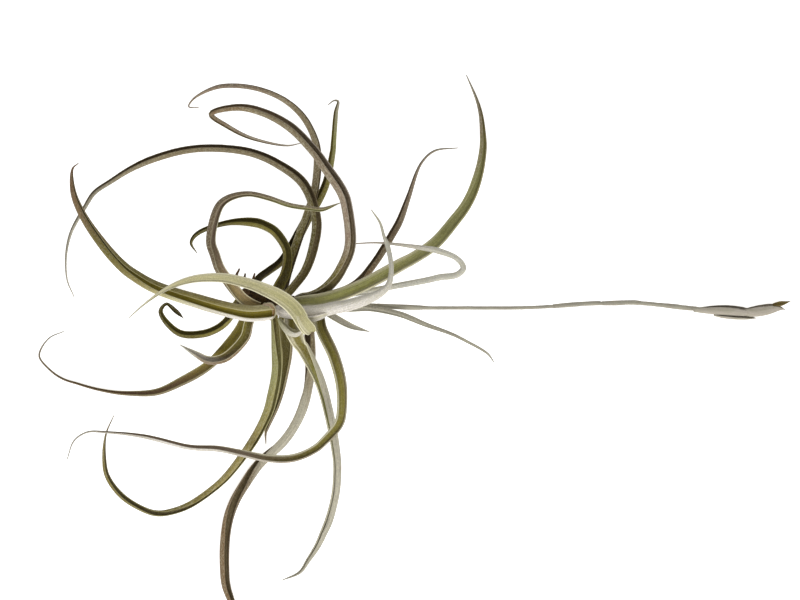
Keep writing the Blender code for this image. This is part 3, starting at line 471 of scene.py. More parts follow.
leaves = {
    "leaf_top_hook": {
        "turn": (70, 78, 78, 76, 74, 72), "fold": (75, 128, 130, 130, 130, 135),
        "left": "moss fern taupe taupe mauve mauve", "right": "umber umber mocha mocha mauve",
        "groove": "umber mocha mocha mocha", "rim": "taupe", "scurf": 0.45, "route": [
        (-2.4, 4.9, 41.5, 4.5), (-1.2, 10, 39.5, 5), (0.8, 18, 38, 5), (5.6, 34, 34.5, 5),
        (9.5, 44.5, 33, 4.6), (14, 60, 30.5, 4.5), (15, 79, 30.5, 4.2), (12.5, 88, 31.5, 3.9),
        (7, 97, 33, 3.6), (-2, 104.5, 35, 3.2), (-14.5, 109.5, 38, 2.9), (-27, 111, 40, 2.6),
        (-36, 110, 40.5, 2.3), (-47, 104.5, 40, 1.2), (-49.5, 100.5, 40, 0.8), (-45, 100, 40, 0.5),
    ]},
    "leaf_big_loop": {
        "turn": (40, 46, 46, 46, 50, 56), "fold": (75, 126, 130, 130, 130, 130, 135),
        "left": "moss fern mauve mauve taupe taupe clay mauve dove",
        "right": "moss taupe mauve mauve mocha honey taupe",
        "groove": "olive umber bark umber clay mocha mauve", "rim": "dove", "scurf": 0.5, "filled": 0.45,
        "slope": 0.5, "route": [
        (7.6, 4.5, 45, 4.49), (12.1, 5, 46, 5.19), (17.2, 7, 48, 5.6), (22.2, 10.8, 51.5, 5.6),
        (27.5, 17.5, 57.5, 5.6), (32.5, 29.5, 64.5, 5.6), (31, 48.5, 71, 5.6), (29, 55, 72, 5.6),
        (20.5, 68, 71, 5.4), (15.5, 75, 69.5, 5.2), (3, 88, 63, 4.9), (-11, 96, 56, 4.3),
        (-24.5, 99, 50.5, 3.6), (-37.5, 96, 47, 2.7), (-30, 90.5, 45, 2.5), (-18, 84.5, 44, 1.9),
        (0.5, 80.5, 44.5, 0.9), (7, 81.5, 45, 0.5),
    ]},
    "leaf_great_arch": {
        "turn": (46, 50, 50, 48, 48, 50), "fold": (75, 128, 130, 130, 130, 130),
        "left": "fern moss taupe taupe taupe ash dove", "right": "moss umber bark bark umber ash silver",
        "groove": "moss umber umber mocha mocha mocha ash silver", "rim": "taupe", "scurf": 0.45,
        "route": [
        (-0.5, 4.6, 49, 4.8), (3.6, 9.5, 49.5, 5), (9.4, 17.5, 48.5, 5), (13.4, 29, 46.5, 5.1),
        (15, 43, 44.5, 5.1), (8.5, 61, 41.5, 5.1), (-5, 71.5, 38, 4.6), (-19, 77.5, 34, 4.3),
        (-39.5, 80, 29, 4), (-54, 79, 24.5, 4), (-71.5, 74.5, 18.5, 3.9), (-82, 70, 16, 3.3),
        (-93, 63.5, 13, 2.8), (-101.5, 58, 10.5, 2.5), (-106.5, 51, 8, 2.3), (-114.5, 37.5, 4, 1.7),
        (-117.5, 25.5, 1, 1.2), (-117, 13, 0.52, 0.8), (-113.5, 4.5, 1, 0.5),
    ]},
    "leaf_left_sweep": {
        "turn": (-13, -10, 0, 20, 44, 60), "fold": (142, 150, 152, 165, 160, 150),
        "left": "pearl pearl straw honey fern clay rosewood",
        "right": "straw honey fern fern clay rosewood",
        "groove": "gold gold gold gold fern umber rosewood", "rim": "straw", "scurf": 0.25, "filled": 0.6,
        "slope": 0.3, "rooted": False, "route": [
        (-5.2, -3.3, 52.6, 2.51), (-5.8, -3.3, 52.9, 5.51), (-7.6, -3.5, 53.6, 7.41),
        (-17.4, -4.2, 57, 8.19), (-27, -2.5, 59.5, 7.6), (-43.5, 2, 59.5, 7), (-64, 8.5, 54, 6.5),
        (-74.5, 14, 49.5, 6), (-83, 20, 46, 5.7), (-96, 34.5, 40.5, 4.9), (-104.5, 47, 36.5, 3.9),
        (-109, 58, 34.5, 3), (-109.5, 69.5, 32.5, 1.1), (-107, 72, 32, 0.5),
    ]},
    "leaf_dark_curl": {
        "turn": (26, 30, 36, 38, 45), "fold": (70, 126, 130, 130, 135),
        "left": "moss fern olive moss fern", "right": "moss moss moss umber",
        "groove": "pitch moss moss moss", "rim": "olive", "scurf": 0.2, "filled": 0.3, "route": [
        (-6, 5.7, 47, 5.09), (-3.8, 10, 47, 5.3), (-1, 15, 46.5, 5.09), (0.5, 21, 46, 4.77),
        (0, 28, 45, 4.56), (-5.5, 36.5, 43.5, 4.77), (-10, 39.5, 43, 4.77), (-16, 41.5, 42, 4.88),
        (-30.5, 41.5, 38, 2.86), (-46, 36, 33.5, 2.23), (-49, 31.5, 32.5, 1.48), (-46.5, 27, 32, 0.5),
    ]},
    "leaf_upright": {
        "turn": (-20, -48, -50, -52, -50), "fold": (60, 126, 130, 130, 130),
        "left": "pitch pitch moss olive taupe", "right": "moss fern fern olive leek dove",
        "groove": "pitch pitch pitch moss fern taupe", "rim": "fern", "scurf": 0.25, "route": [
        (-16.2, 8.6, 40.5, 4.6), (-14, 12.9, 38.5, 4.4), (-8.8, 17.2, 33, 4.2), (-3.2, 21.8, 29.5, 4.3),
        (1.2, 28, 27.8, 4.6), (5.5, 35, 27, 5.4), (10.5, 44.5, 25.5, 5), (19, 60.5, 23, 4.2),
        (23, 78.5, 20.5, 3.1), (23.5, 85, 19, 2.8), (24.5, 99.5, 15.5, 2.4), (25.5, 105.5, 14.5, 1.3),
        (23.5, 106, 14.5, 0.9), (20.5, 104, 14, 0.5),
    ]},
    "leaf_s_loop": {
        "turn": (-4, 30, 54, 52, 46, 40), "fold": (58, 100, 128, 130, 130, 135),
        "left": "cream taupe mocha mocha mocha taupe taupe", "right": "fawn mauve mocha sage sage",
        "groove": "fawn fawn mauve mauve leek leek", "rim": "cream", "scurf": 0.45, "route": [
        (-12.3, -1, 50.5, 4.52), (-16.4, 0, 53.5, 5.41), (-20.9, 2.8, 56.4, 5.69),
        (-24.6, 6.7, 58.5, 5.78), (-28.4, 11.7, 60.3, 5.57), (-32.6, 18.2, 61.5, 5.37),
        (-34.7, 24.4, 62, 5.12), (-36.8, 31.8, 62, 4.97), (-33, 48.5, 61.5, 4.5), (-28.5, 53, 60.5, 3.8),
        (-18.5, 55.5, 59, 2.8), (-8, 53.5, 57, 2.7), (2.5, 50, 54.5, 2.5), (13, 48.5, 53, 2.3),
        (18.5, 48, 52.5, 2.2), (27, 51, 52, 0.5),
    ]},
    "leaf_cross": {
        "turn": (-4, -4, -6, -10, -15), "fold": (52, 58, 68, 88, 120),
        "left": "cream cream cream linen silver", "right": "sage sage stone ash ash",
        "groove": "sage sage willow straw linen", "rim": "cream", "scurf": 0.5, "filled": 0.55,
        "slope": 0.45, "route": [
        (9.4, -2.4, 49, 5.8), (10.8, -7.5, 51, 6.7), (12.6, -11.6, 55, 5.6), (12.5, -12.6, 60, 5.8),
        (10.5, -10.2, 65.5, 6.4), (6.9, -3.4, 70, 7.2), (3.1, 0.8, 72, 7.09), (-2.8, 5, 76, 6.87),
        (-9.6, 8.1, 78, 6.17), (-16, 10.5, 78.5, 5.4), (-29.5, 13.5, 77, 4.8), (-46, 12.5, 72, 3.5),
        (-58, 8, 67.5, 2.1), (-70, 0, 63, 0.9), (-77, -6, 60, 0.5),
    ]},
    "leaf_small_curl": {
        "turn": (20, 36, 38, 38, 40), "fold": (60, 126, 130, 130, 135),
        "left": "fern olive fern moss pitch", "right": "moss moss fern pitch",
        "groove": "pitch moss moss pitch", "rim": "olive", "scurf": 0.2, "route": [
        (-23, 2.4, 44, 3.9), (-25.8, -0.8, 40.5, 4.1), (-29.5, -7, 33, 4.1), (-35.5, -12, 28, 4.1),
        (-43.5, -15, 26.5, 4.1), (-56, -14.5, 26.5, 3.7), (-65, -3.5, 30, 2.4), (-61.8, 0.6, 31, 1.6),
        (-57.2, -2.8, 31.6, 2.3), (-55.2, -4.6, 31.8, 1.9), (-53.4, -6.4, 32, 0.5),
    ]},
    "leaf_left_low": {
        "turn": (10, 14, 20, 30, 40), "fold": (60, 110, 125, 130, 140),
        "left": "honey taupe taupe rosewood ash", "right": "honey honey taupe rosewood ash",
        "groove": "olive gold clay rosewood mocha ash", "rim": "sage", "scurf": 0.35, "route": [
        (-19.5, -1.8, 41, 5), (-23, -11.5, 37, 5.4), (-34.5, -25.5, 29, 5.3), (-42.5, -32.5, 22.5, 5.1),
        (-55, -39.5, 14, 4.8), (-69, -45.5, 7, 3.7), (-83.5, -46.5, 3, 2.6), (-98, -45, 1, 1.7),
        (-111.5, -41.5, 0.51, 1.3), (-119, -39, 0.8, 1.2), (-125.5, -34.5, 2, 1.1), (-131, -27.5, 4, 1),
        (-130, -23, 5.5, 0.9), (-125, -17, 7.5, 0.7), (-118, -14, 9, 0.5),
    ]},
    "leaf_claw": {
        "turn": (10, 24, 30, 30), "fold": (60, 100, 120, 130),
        "left": "umber rosewood clay clay mauve silver", "right": "moss olive fern honey dove silver",
        "groove": "moss moss fern umber dove silver", "rim": "cream", "scurf": 0.35, "route": [
        (-16.3, -2.6, 46.2, 4.56), (-18.5, -9.5, 45, 5.09), (-20.5, -16.5, 42.5, 5.19),
        (-30.5, -26.5, 36.5, 4.77), (-37, -28.5, 34.5, 4.35), (-41.5, -28, 33.5, 4.1),
        (-46, -25.5, 34, 3.3), (-54, -20.5, 36, 0.5),
    ]},
    "leaf_bottom_sweep": {
        "turn": (-50, -62, -64, -72, -60, 20, 52, 56), "fold": (60, 126, 130, 130, 130, 130, 130, 135),
        "left": "honey leek honey honey fern honey taupe",
        "right": "leek leek honey honey fern taupe mauve", "groove": "moss moss moss umber moss umber",
        "rim": "willow", "scurf": 0.4, "slope": 0.35, "route": [
        (-6.5, -2.6, 45, 4.3), (-5.5, -19, 45.5, 5.3), (-5, -33, 45.5, 5.4), (-7.5, -46.5, 42.5, 5.5),
        (-10, -55, 39.5, 5.3), (-17.5, -69, 34, 5), (-30, -86, 27, 4.4), (-37, -93, 23.5, 4),
        (-51, -103, 18.5, 3.6), (-58, -106, 17, 3.5), (-66.5, -108, 15, 3.3), (-73.5, -107, 13.5, 3.2),
        (-87, -99.5, 11, 3.1), (-95, -89, 10, 2.7), (-96.5, -79, 10, 2.1), (-95.5, -67.5, 10.5, 1),
        (-91.5, -58, 11, 0.5),
    ]},
    "leaf_short_down": {
        "turn": (0, 0, 0, 0), "fold": (60, 130, 150, 160), "left": "taupe taupe taupe mauve",
        "right": "straw honey honey mauve", "groove": "moss moss umber", "rim": "willow", "scurf": 0.35,
        "route": [
        (-1.5, -2.2, 40.8, 4.3), (-1.5, -10.5, 38, 5.4), (-0.5, -19.5, 34.5, 6.6), (-0.5, -26.5, 32, 5.7),
        (-4.5, -47.5, 23.5, 3.3), (-11, -63, 16.5, 2.3), (-12, -66.5, 16, 1.3), (-12, -71.5, 15, 0.5),
    ]},
    "leaf_long_bottom": {
        "turn": (30, 60, 100, 95, 20, -45, -50, -50), "fold": (70, 120, 130, 130, 130, 130, 130, 140),
        "left": "mocha taupe stone stone mocha mocha taupe mocha",
        "right": "umber mocha stone taupe clay clay clay",
        "groove": "soot bark umber umber umber umber mocha", "rim": "mauve", "scurf": 0.4, "slope": 0.4,
        "route": [
        (11.2, -1.6, 40.6, 5.2), (12, -12.5, 40, 5.9), (12.5, -23, 37, 5.7), (11, -40, 29, 5.7),
        (6.5, -56, 20.5, 5.6), (-2, -70, 13, 5.6), (-15.5, -83, 6.5, 5.5), (-22, -91.5, 4, 5.5),
        (-30.5, -106, 3.05, 5.4), (-34, -119.5, 2.47, 5.2), (-34.5, -140.5, 3.05, 4.9),
        (-33.5, -147.5, 4, 4.6), (-31, -154, 6, 3.9), (-26.5, -163, 10, 2.8), (-18, -174, 16, 0.5),
    ]},
    "leaf_pale_straight": {
        "turn": (-4, 16, 34, 36, 36, 34, 30, 20), "fold": (50, 100, 150, 157, 157, 157, 157, 150),
        "left": "pearl linen stone stone stone stone stone ash",
        "right": "pearl cream linen stone stone stone ash",
        "groove": "olive fern pickle stone stone stone", "rim": "cream", "scurf": 0.5, "filled": 0.55,
        "route": [
        (2.6, -2.5, 47.4, 5.64), (3, -7, 50.8, 7.03), (3.9, -11.3, 53.8, 8.76), (5.8, -15.5, 55, 8.25),
        (7.3, -19.1, 51, 6.92), (9, -21.5, 48.5, 6.7), (12.5, -28, 47.5, 6.2), (17.5, -39.5, 45, 5.5),
        (21.5, -55, 38.5, 5), (25, -75.5, 33, 4.4), (25.5, -83, 30.5, 4.3), (24.5, -96.5, 24.5, 4.2),
        (21, -111, 17.5, 4.3), (18, -118, 15, 3.9), (14.5, -125.5, 13, 3.3), (10, -132.5, 12, 2.6),
        (5.5, -139, 11.5, 1.8), (-3.5, -143, 11, 0.5),
    ]},
    "leaf_down_arc": {
        "turn": (-15, -20, -10, 6, 34, 54, 58, 58), "fold": (60, 110, 118, 120, 120, 120, 120, 130),
        "left": "moss taupe taupe mauve dove pearl dove ash",
        "right": "linen willow linen linen mauve mauve ash",
        "groove": "fern olive olive fern mauve mauve mauve ash", "rim": "linen", "scurf": 0.4, "route": [
        (15.4, -3.2, 46.5, 5.2), (18, -12.5, 53.5, 5.8), (24.5, -26, 60, 5.7), (28, -38.5, 62.5, 5.5),
        (28.5, -52, 62, 5.1), (27, -59, 60, 4.9), (19.5, -68, 56.5, 4.3), (15, -72, 54.5, 4.1),
        (3.5, -77, 49.5, 4.1), (-9.5, -77.5, 45, 3.9), (-23.5, -75, 42, 3.6), (-35, -73, 40.5, 3.2),
        (-49, -72.5, 38.5, 3), (-73, -67, 35.5, 2.3), (-92, -65, 33.5, 1.3), (-102, -65, 32, 1),
        (-109, -69.5, 31, 0.8), (-112.5, -78.5, 30, 0.5),
    ]},
    "leaf_short_right": {
        "turn": (0, 20), "fold": (60, 110), "left": "ash ash", "right": "linen silver",
        "groove": "ash ash", "rim": "linen", "scurf": 0.4, "route": [
        (17.4, -1.8, 41.6, 3.2), (24, -6, 40, 3.5), (32.5, -10.5, 38, 3), (41.5, -13.5, 36, 0.5),
    ]},
    "leaf_right_down": {
        "turn": (0, 60, 70, 70), "fold": (60, 125, 130, 130), "left": "ash ash ash",
        "right": "silver silver silver ash", "groove": "ash ash ash", "rim": "linen", "scurf": 0.5,
        "route": [
        (18.5, -1.2, 47, 3.2), (30, -1.5, 47, 3.6), (42.5, -1.5, 46, 3.2), (57.5, -4.5, 44, 3.1),
        (64, -7, 42, 3), (71, -10, 38.5, 2.5), (84.5, -15, 33, 1.9), (91.5, -18.5, 30, 1.6),
        (102.5, -25, 27, 1.2), (105.5, -29, 26, 0.5),
    ]},
    "leaf_long_right": {
        "turn": (0, -2, -6, 4, 20, 30, 30), "fold": (100, 112, 112, 118, 140, 150, 150),
        "left": "linen linen linen leek leek taupe ash",
        "right": "silver linen linen leek honey taupe mauve",
        "groove": "leek pickle leek leek leek honey taupe", "rim": "willow", "scurf": 0.45, "filled": 0.6,
        "slope": 0.8, "route": [
        (9.8, 1.8, 50.2, 5.8), (17.5, 2.5, 51, 6.7), (31, 6.5, 50.5, 6.8), (44, 12.5, 48, 6.7),
        (57.5, 20, 44.5, 6.7), (64, 23.5, 42.5, 6.2), (75.3, 31.4, 38, 6.09), (84, 41.5, 32, 6.02),
        (91.9, 52.3, 26, 5.64), (97.2, 64.9, 20, 5.05), (100.3, 79.2, 14.5, 4.04),
        (100.6, 88.3, 11, 3.33), (98.6, 104.5, 3.4, 1.88), (92.5, 120, 0.24, 0.5),
    ]},
    "leaf_brown_right": {
        "turn": (0, -58, -60, -60), "fold": (60, 126, 130, 130), "left": "umber mocha mocha ash",
        "right": "mocha clay mocha mauve ash", "groove": "umber umber umber mocha mauve", "rim": "taupe",
        "scurf": 0.4, "route": [
        (10.4, 2.5, 40.4, 4.1), (16, 2.8, 39, 4.3), (34.5, 9.8, 35, 4.3), (44.5, 21, 31.5, 4.2),
        (54, 36.5, 26, 4.1), (57.5, 43, 24, 3.9), (62, 55.5, 20.5, 2.8), (68.5, 73, 19.5, 1.4),
        (75.5, 79.5, 18.5, 1.2), (87, 81, 18, 0.5),
    ]},
    "leaf_silver_loop": {
        "turn": (60, 80, 100, 110, 120), "fold": (80, 120, 130, 130, 140),
        "left": "ash silver silver silver silver dove mauve",
        "right": "silver silver chalk silver ash mauve", "groove": "ash ash dove", "rim": "chalk",
        "scurf": 0.6, "route": [
        (17.8, 2.1, 44.4, 2.6), (26, 4, 43, 2.8), (35.5, 6, 42.5, 3.1), (43, 7.5, 43.5, 3.2),
        (57.5, 10, 48, 3.7), (71, 12.5, 52.5, 3.7), (77.5, 14, 54, 3.7), (86, 15.3, 55.5, 3.5),
        (89, 18.5, 56, 3.3), (86, 23, 56.5, 2.9), (76, 27, 57, 3.2), (71, 28, 57, 2.8), (47.5, 31, 56, 1),
        (33, 30.5, 56, 0.5),
    ]},
    "leaf_white_kinked": {
        "turn": (180, 180, 150, 162), "fold": (50, 70, 90, 110, 125),
        "left": "pearl pearl pearl chalk silver linen", "right": "pearl chalk chalk silver ash",
        "groove": "dove silver dove", "rim": "pearl", "scurf": 0.6, "route": [
        (-3, -3, 50.8, 4.52), (3, -4, 54, 5.81), (17.5, -3, 61, 6.2), (24.5, -1.5, 64.5, 6.2),
        (31.5, 0, 67, 6.2), (43, 4, 69, 5.3), (48, 6.5, 69, 4.2), (51.5, 10, 68.5, 3.3),
        (53, 17.5, 67, 2.5), (51, 30, 64, 2.4), (49.5, 34, 63.5, 1.6), (47.5, 41, 61.5, 1.2),
        (43.5, 47, 60, 0.5),
    ]},
    "leaf_under_left": {**underLook, "route": [
        (-12.5, 2.5, 40.46, 4.3), (-19, 1.5, 34.06, 5), (-29.5, -2, 24.06, 5), (-43.5, 1, 13.06, 4.3),
        (-57, 4.5, 5.06, 3.2), (-68, 7.5, 1.09, 1.9), (-76, 11.5, 1.06, 0.5),
    ]},
    "leaf_under_right": {**underLook, "route": [
        (5, 1.5, 40.8, 4.3), (15, 2, 34, 4.8), (26.5, 5, 24, 4.8), (37, 9, 11, 3.7), (44.5, 13, 3, 2.2),
        (50, 15, 0.27, 0.5),
    ]},
    "leaf_under_front": {**underLook, "route": [
        (1.5, -0.5, 36.5, 4.3), (2.5, -8.5, 32, 4.8), (6.5, -18, 24, 4.8), (11, -28, 13, 4.1),
        (15.5, -38, 4, 2.6), (18.5, -47, 0.27, 0.5),
    ]},
}

stem = {
    "left": Vector((-23.0, 4.6, 45.0)), "right": Vector((15.5, 0.0, 45.0)),
    "radius": (2.8, 4.6, 4.2, 3.2, 2.2, 1.6),
    "sides": 64, "steps": 16, "rough": 0.22, "ridges": 19, "ridgeDepth": 0.03,
}


def stemMiddle(x):
    return stem["left"].lerp(stem["right"], (x - stem["left"].x) / (stem["right"].x - stem["left"].x))


rooting = {
    "rightFrom": 3, "inwards": 6, "leftClear": 3, "rightClear": 2, "reach": 0.75, "narrowed": 0.8,
}


def rooted(route):
    # carries a leaf's base on into the stem, and further along it for the leaves at its right end
    x, y, z, width = route[0]
    inwards = rooting["inwards"] if x > rooting["rightFrom"] else 0
    kept = max(x, stem["left"].x + rooting["leftClear"])
    kept = min(kept, stem["right"].x - rooting["rightClear"])
    inner = Vector((x, y, z)).lerp(stemMiddle(kept - inwards), rooting["reach"])
    return [(*inner, width * rooting["narrowed"])] + list(route)


for seed, (name, leaf) in enumerate(leaves.items(), firstSeed["leaves"]):
    route = rooted(leaf["route"]) if leaf.get("rooted", True) else leaf["route"]
    makeChannel(name, {**leaf, "route": route}, leafSkin(name, leaf), seed,
                filled=leaf.get("filled", channel["filled"]))
print("leaves made:", len(leaves))


# curled lobes where the leaf bases end, each a part of the leaf it's named for

lobes = {
    "sweep_lobe": {
        "leaf": "leaf_left_sweep", "turn": (-50, -50), "fold": (60, 80, 70), "left": "amber mauve",
        "right": "linen taupe", "groove": "amber mauve", "rim": "linen", "scurf": 0.4, "filled": 0.3,
        "route": [
        (-7.6, -7.5, 53.5, 1.5), (-5.5, -5.5, 55, 2.5), (-5.1, -2, 57, 2.99), (-7, 0.5, 58.5, 3.09),
        (-10.1, 0.5, 58, 1.5),
    ]},
    "pale_lobe": {
        "leaf": "leaf_pale_straight", "turn": (-66, -74, -66), "fold": (90, 110, 90),
        "left": "linen linen", "right": "leek pearl", "groove": "fern sage", "rim": "linen", "scurf": 0.5,
        "filled": 0.2, "route": [
        (-3.3, -7, 54, 2.5), (-0.9, -10.5, 56, 4.25), (2.4, -13.7, 57.5, 4.99), (5.9, -14.5, 58, 4.74),
        (8.6, -12.7, 58, 2.49),
    ]},
    "cross_lobe": {
        "leaf": "leaf_cross", "turn": (0, 0), "fold": (50, 58, 66, 84, 95), "left": "sage willow",
        "right": "cream cream", "groove": "willow willow", "rim": "cream", "scurf": 0.5, "filled": 0.6,
        "route": [
        (7.2, -3.4, 69.2, 2.47), (9.1, -6.6, 69.2, 5.18), (11.1, -9.6, 67.6, 6.43),
        (12.6, -11.7, 65, 6.14), (13.3, -13, 62, 4.22),
    ]},
    "white_lobe": {
        "leaf": "leaf_white_kinked", "turn": (40, 46, 40), "fold": (62, 75, 62), "left": "pearl chalk",
        "right": "pearl chalk", "groove": "dove linen", "rim": "pearl", "scurf": 0.5, "filled": 0.3,
        "route": [
        (6.2, -5.5, 60, 1.49), (9.8, -6.5, 61, 2.98), (14.3, -6.4, 62, 3.48), (18.8, -5.2, 63, 2.98),
        (21.8, -4, 63, 1.49),
    ]},
}

for seed, (name, lobe) in enumerate(lobes.items(), firstSeed["lobes"]):
    makeChannel(name, lobe, leafSkin(name, lobe), seed,
                node=lobe["leaf"], filled=lobe["filled"])
print("base lobes made:", len(lobes))


# rods: stem, roots and flower stalk, with bark or fine ridges pushed into the surface

rod = {
    "opening": Vector((0, 0.2, 1)), "caps": ((0.3, 0.55), (0.15, 0.85)),
    "noisePace": 0.5, "noiseRound": 2, "noiseApart": 9.0,
}


def makeRod(name, route, material, shape, seed):
    curve = smoothRoute(route, shape["steps"])
    places, ahead, openings = upwardFrames(curve, rod["opening"])
    runs = runLengths(places)
    bm = bmesh.new()
    placeLayer = bm.verts.layers.float_vector.new("leafPlace")
    stations = [(0, -past, shrink) for past, shrink in rod["caps"]]
    stations += [(i, 0.0, 1.0) for i in range(len(places))]
    stations += [(len(places) - 1, past, shrink) for past, shrink in reversed(rod["caps"])]
    rings = []
    for i, past, shrink in stations:
        side = ahead[i].cross(openings[i])
        radius = curve[i][3] / 2 * shrink
        centre = places[i] + ahead[i] * past * curve[i][3] / 2
        ring = []
        for k in range(shape["sides"]):
            angle = 2 * math.pi * k / shape["sides"]
            across = side * math.cos(angle) + openings[i] * math.sin(angle)
            spot = Vector((
                runs[i] * rod["noisePace"], math.cos(angle) * rod["noiseRound"],
                math.sin(angle) * rod["noiseRound"] + seed * rod["noiseApart"]))
            swell = 1 + shape["rough"] * noise.noise(spot)
            swell += shape["ridgeDepth"] * math.cos(shape["ridges"] * angle)
            vert = bm.verts.new((heart + centre + across * radius * swell) * mm)
            vert[placeLayer] = skinPlace(runs[i], angle * curve[i][3] / 2, seed)
            ring.append(vert)
        rings.append(ring)
    skinRings(bm, rings)
    closeEnds(bm, rings)
    addPiece(name, bm, material)


dry = {
    "patch": (0.35, 0.65), "fleck": (0.50, 0.70, 0.0), "rough": (0.3, 0.7, 0.7, 0.95),
    "speckHeight": 0.6, "bumpHeight": 0.00012, "shine": 0.15,
}


def dryMaterial(name, look):
    # everything that isn't a leaf: fibres, speckle and worn patches
    material, tree, output = newMaterial(name)
    place = addNode(tree, "ShaderNodeAttribute", attribute_name="leafPlace").outputs["Vector"]
    fibre = stretchedNoise(tree, place, look["fibre"], 4.0, 0.65)
    patch = stretchedNoise(tree, place, look["patch"], 4.0)
    speck = stretchedNoise(tree, place, look["speck"], 2.0, 0.7)
    base, worn, fibreTone, speckTone = [paint(tone) for tone in look["tones"].split()]
    colour = blendColour(tree, remap(tree, patch, *dry["patch"]), base, worn)
    fibreMask = remap(tree, fibre, *dry["fleck"], look["fibreShare"])
    colour = blendColour(tree, fibreMask, colour, fibreTone)
    speckMask = remap(tree, speck, *dry["fleck"], look["speckShare"])
    colour = blendColour(tree, speckMask, colour, speckTone)
    rough = remap(tree, patch, *dry["rough"], "LINEAR")
    height = calculate(tree, "ADD", fibre, calculate(tree, "MULTIPLY", speck, dry["speckHeight"]))
    bump = addNode(tree, "ShaderNodeBump", {
        "Height": height, "Strength": look["bump"], "Distance": dry["bumpHeight"]}).outputs[0]
    shader = addNode(tree, "ShaderNodeBsdfPrincipled", {
        "Base Color": colour, "Roughness": rough, "Normal": bump, "Specular IOR Level": dry["shine"]})
    tree.links.new(shader.outputs[0], output.inputs["Surface"])
    return material


# tones are base, worn patches, fibres and specks
barkLook = {
    "tones": "soot bark rosewood soot", "fibre": (0.5, 3.0, 1.0), "patch": (0.3, 0.5, 1.0),
    "speck": (2.0, 3.0, 1.0), "fibreShare": 0.5, "speckShare": 0.5, "bump": 0.9,
}
scaleLook = {
    "tones": "bark rosewood mocha soot", "fibre": (0.15, 4.0, 1.0), "patch": (0.3, 0.6, 1.0),
    "speck": (2.0, 3.0, 1.0), "fibreShare": 0.6, "speckShare": 0.4, "bump": 0.8,
}
stalkLook = {
    "tones": "ash stone mauve silver", "fibre": (0.08, 4.0, 1.0), "patch": (0.12, 0.5, 1.0),
    "speck": (2.5, 4.0, 1.0), "fibreShare": 0.45, "speckShare": 0.45, "bump": 0.6,
}
paperyLook = {
    "tones": "stone dove mocha mauve", "fibre": (0.10, 4.5, 1.0), "patch": (0.15, 0.5, 1.0),
    "speck": (2.5, 4.0, 1.0), "fibreShare": 0.28, "speckShare": 0.5, "bump": 0.7,
}
petalLook = {
    "tones": "clay honey bark straw", "fibre": (0.15, 4.5, 1.0), "patch": (0.4, 0.8, 1.0),
    "speck": (2.0, 3.0, 1.0), "fibreShare": 0.6, "speckShare": 0.3, "bump": 0.8,
}

bark = dryMaterial("stemBark", barkLook)
stemStep = (stem["right"] - stem["left"]) / (len(stem["radius"]) - 1)
stemRoute = [(*(stem["left"] + stemStep * i), radius * 2) for i, radius in enumerate(stem["radius"])]
makeRod("stem_core", stemRoute, bark, stem, firstSeed["stem"])

rootShape = {"sides": 20, "steps": 10, "rough": 0.35, "ridges": 5, "ridgeDepth": 0.06}
roots = {
    "root_stub_1": [(-23.0, 6.6, 43.5, 1.3), (-25.2, 12.0, 43.0, 1.3), (-25.0, 15.4, 43.0, 1.2),
                    (-23.6, 18.3, 43.0, 0.9)],
    "root_stub_2": [(-19.8, 8.4, 41.5, 1.5), (-21.2, 12.5, 41.5, 1.5), (-20.8, 15.9, 42.0, 0.8)],
    "root_stub_3": [(-17.6, 8.2, 43.6, 1.5), (-17.0, 12.0, 43.6, 1.5), (-15.9, 16.0, 43.5, 0.7)],
}
rootSkin = dryMaterial("rootSkin", scaleLook)
for seed, (name, route) in enumerate(roots.items(), firstSeed["roots"]):
    makeRod(name, route, rootSkin, rootShape, seed)


# old dry scales round the stem's left end, with ribs and a torn outer end

scaleShape = {
    "wall": 0.42, "inner": 0.12, "clear": 0.38, "reach": 3.4, "rows": 26, "columns": 40,
    "taper": (1.02, 0.94), "flare": 0.5, "rib": 0.10, "ribTurn": 12, "ribFade": 0.5,
    "tear": 0.22, "tearNoise": (6, 5.0, 2.0), "lump": 0.25, "lumpNoise": (3, 2, 4.0),
    "skinGap": 30.0, "skinDepth": 1.3,
}
dryScales = {
    "dry_scale_1": {"middle": 60, "sweep": 62, "start": -20.5, "length": 5.0},
    "dry_scale_2": {"middle": 150, "sweep": 56, "start": -20.0, "length": 2.0},
    "dry_scale_3": {"middle": 235, "sweep": 60, "start": -17.0, "length": 5.5},
    "dry_scale_4": {"middle": 320, "sweep": 64, "start": -19.0, "length": 5.0},
}


def scalePoint(share, across, outer, half, scale, seed):
    # where a scale's skin stands, with the angle round the stem and the distance from its middle
    pace, apart, lane = scaleShape["tearNoise"]
    tearSpot = Vector((across * pace, seed * apart, lane))
    torn = 1 + scaleShape["tear"] * noise.noise(tearSpot) * share
    x = scale["start"] - scale["length"] * (share * torn - 0.5)
    lift = scaleShape["reach"] + scaleShape["clear"] + scaleShape["flare"] * share * share
    ribFade = 1 - share * scaleShape["ribFade"]
    lift += scaleShape["rib"] * math.cos(across * scaleShape["ribTurn"]) * ribFade
    along, around, apart = scaleShape["lumpNoise"]
    lumpSpot = Vector((share * along, across * around, seed * apart))
    lift += scaleShape["lump"] * noise.noise(lumpSpot)
    radius = lift + (scaleShape["wall"] if outer else scaleShape["inner"])
    angle = math.radians(scale["middle"]) + half * across
    reach = Vector((0, math.cos(angle), math.sin(angle))) * radius
    return (heart + stemMiddle(x) + reach) * mm, angle, radius


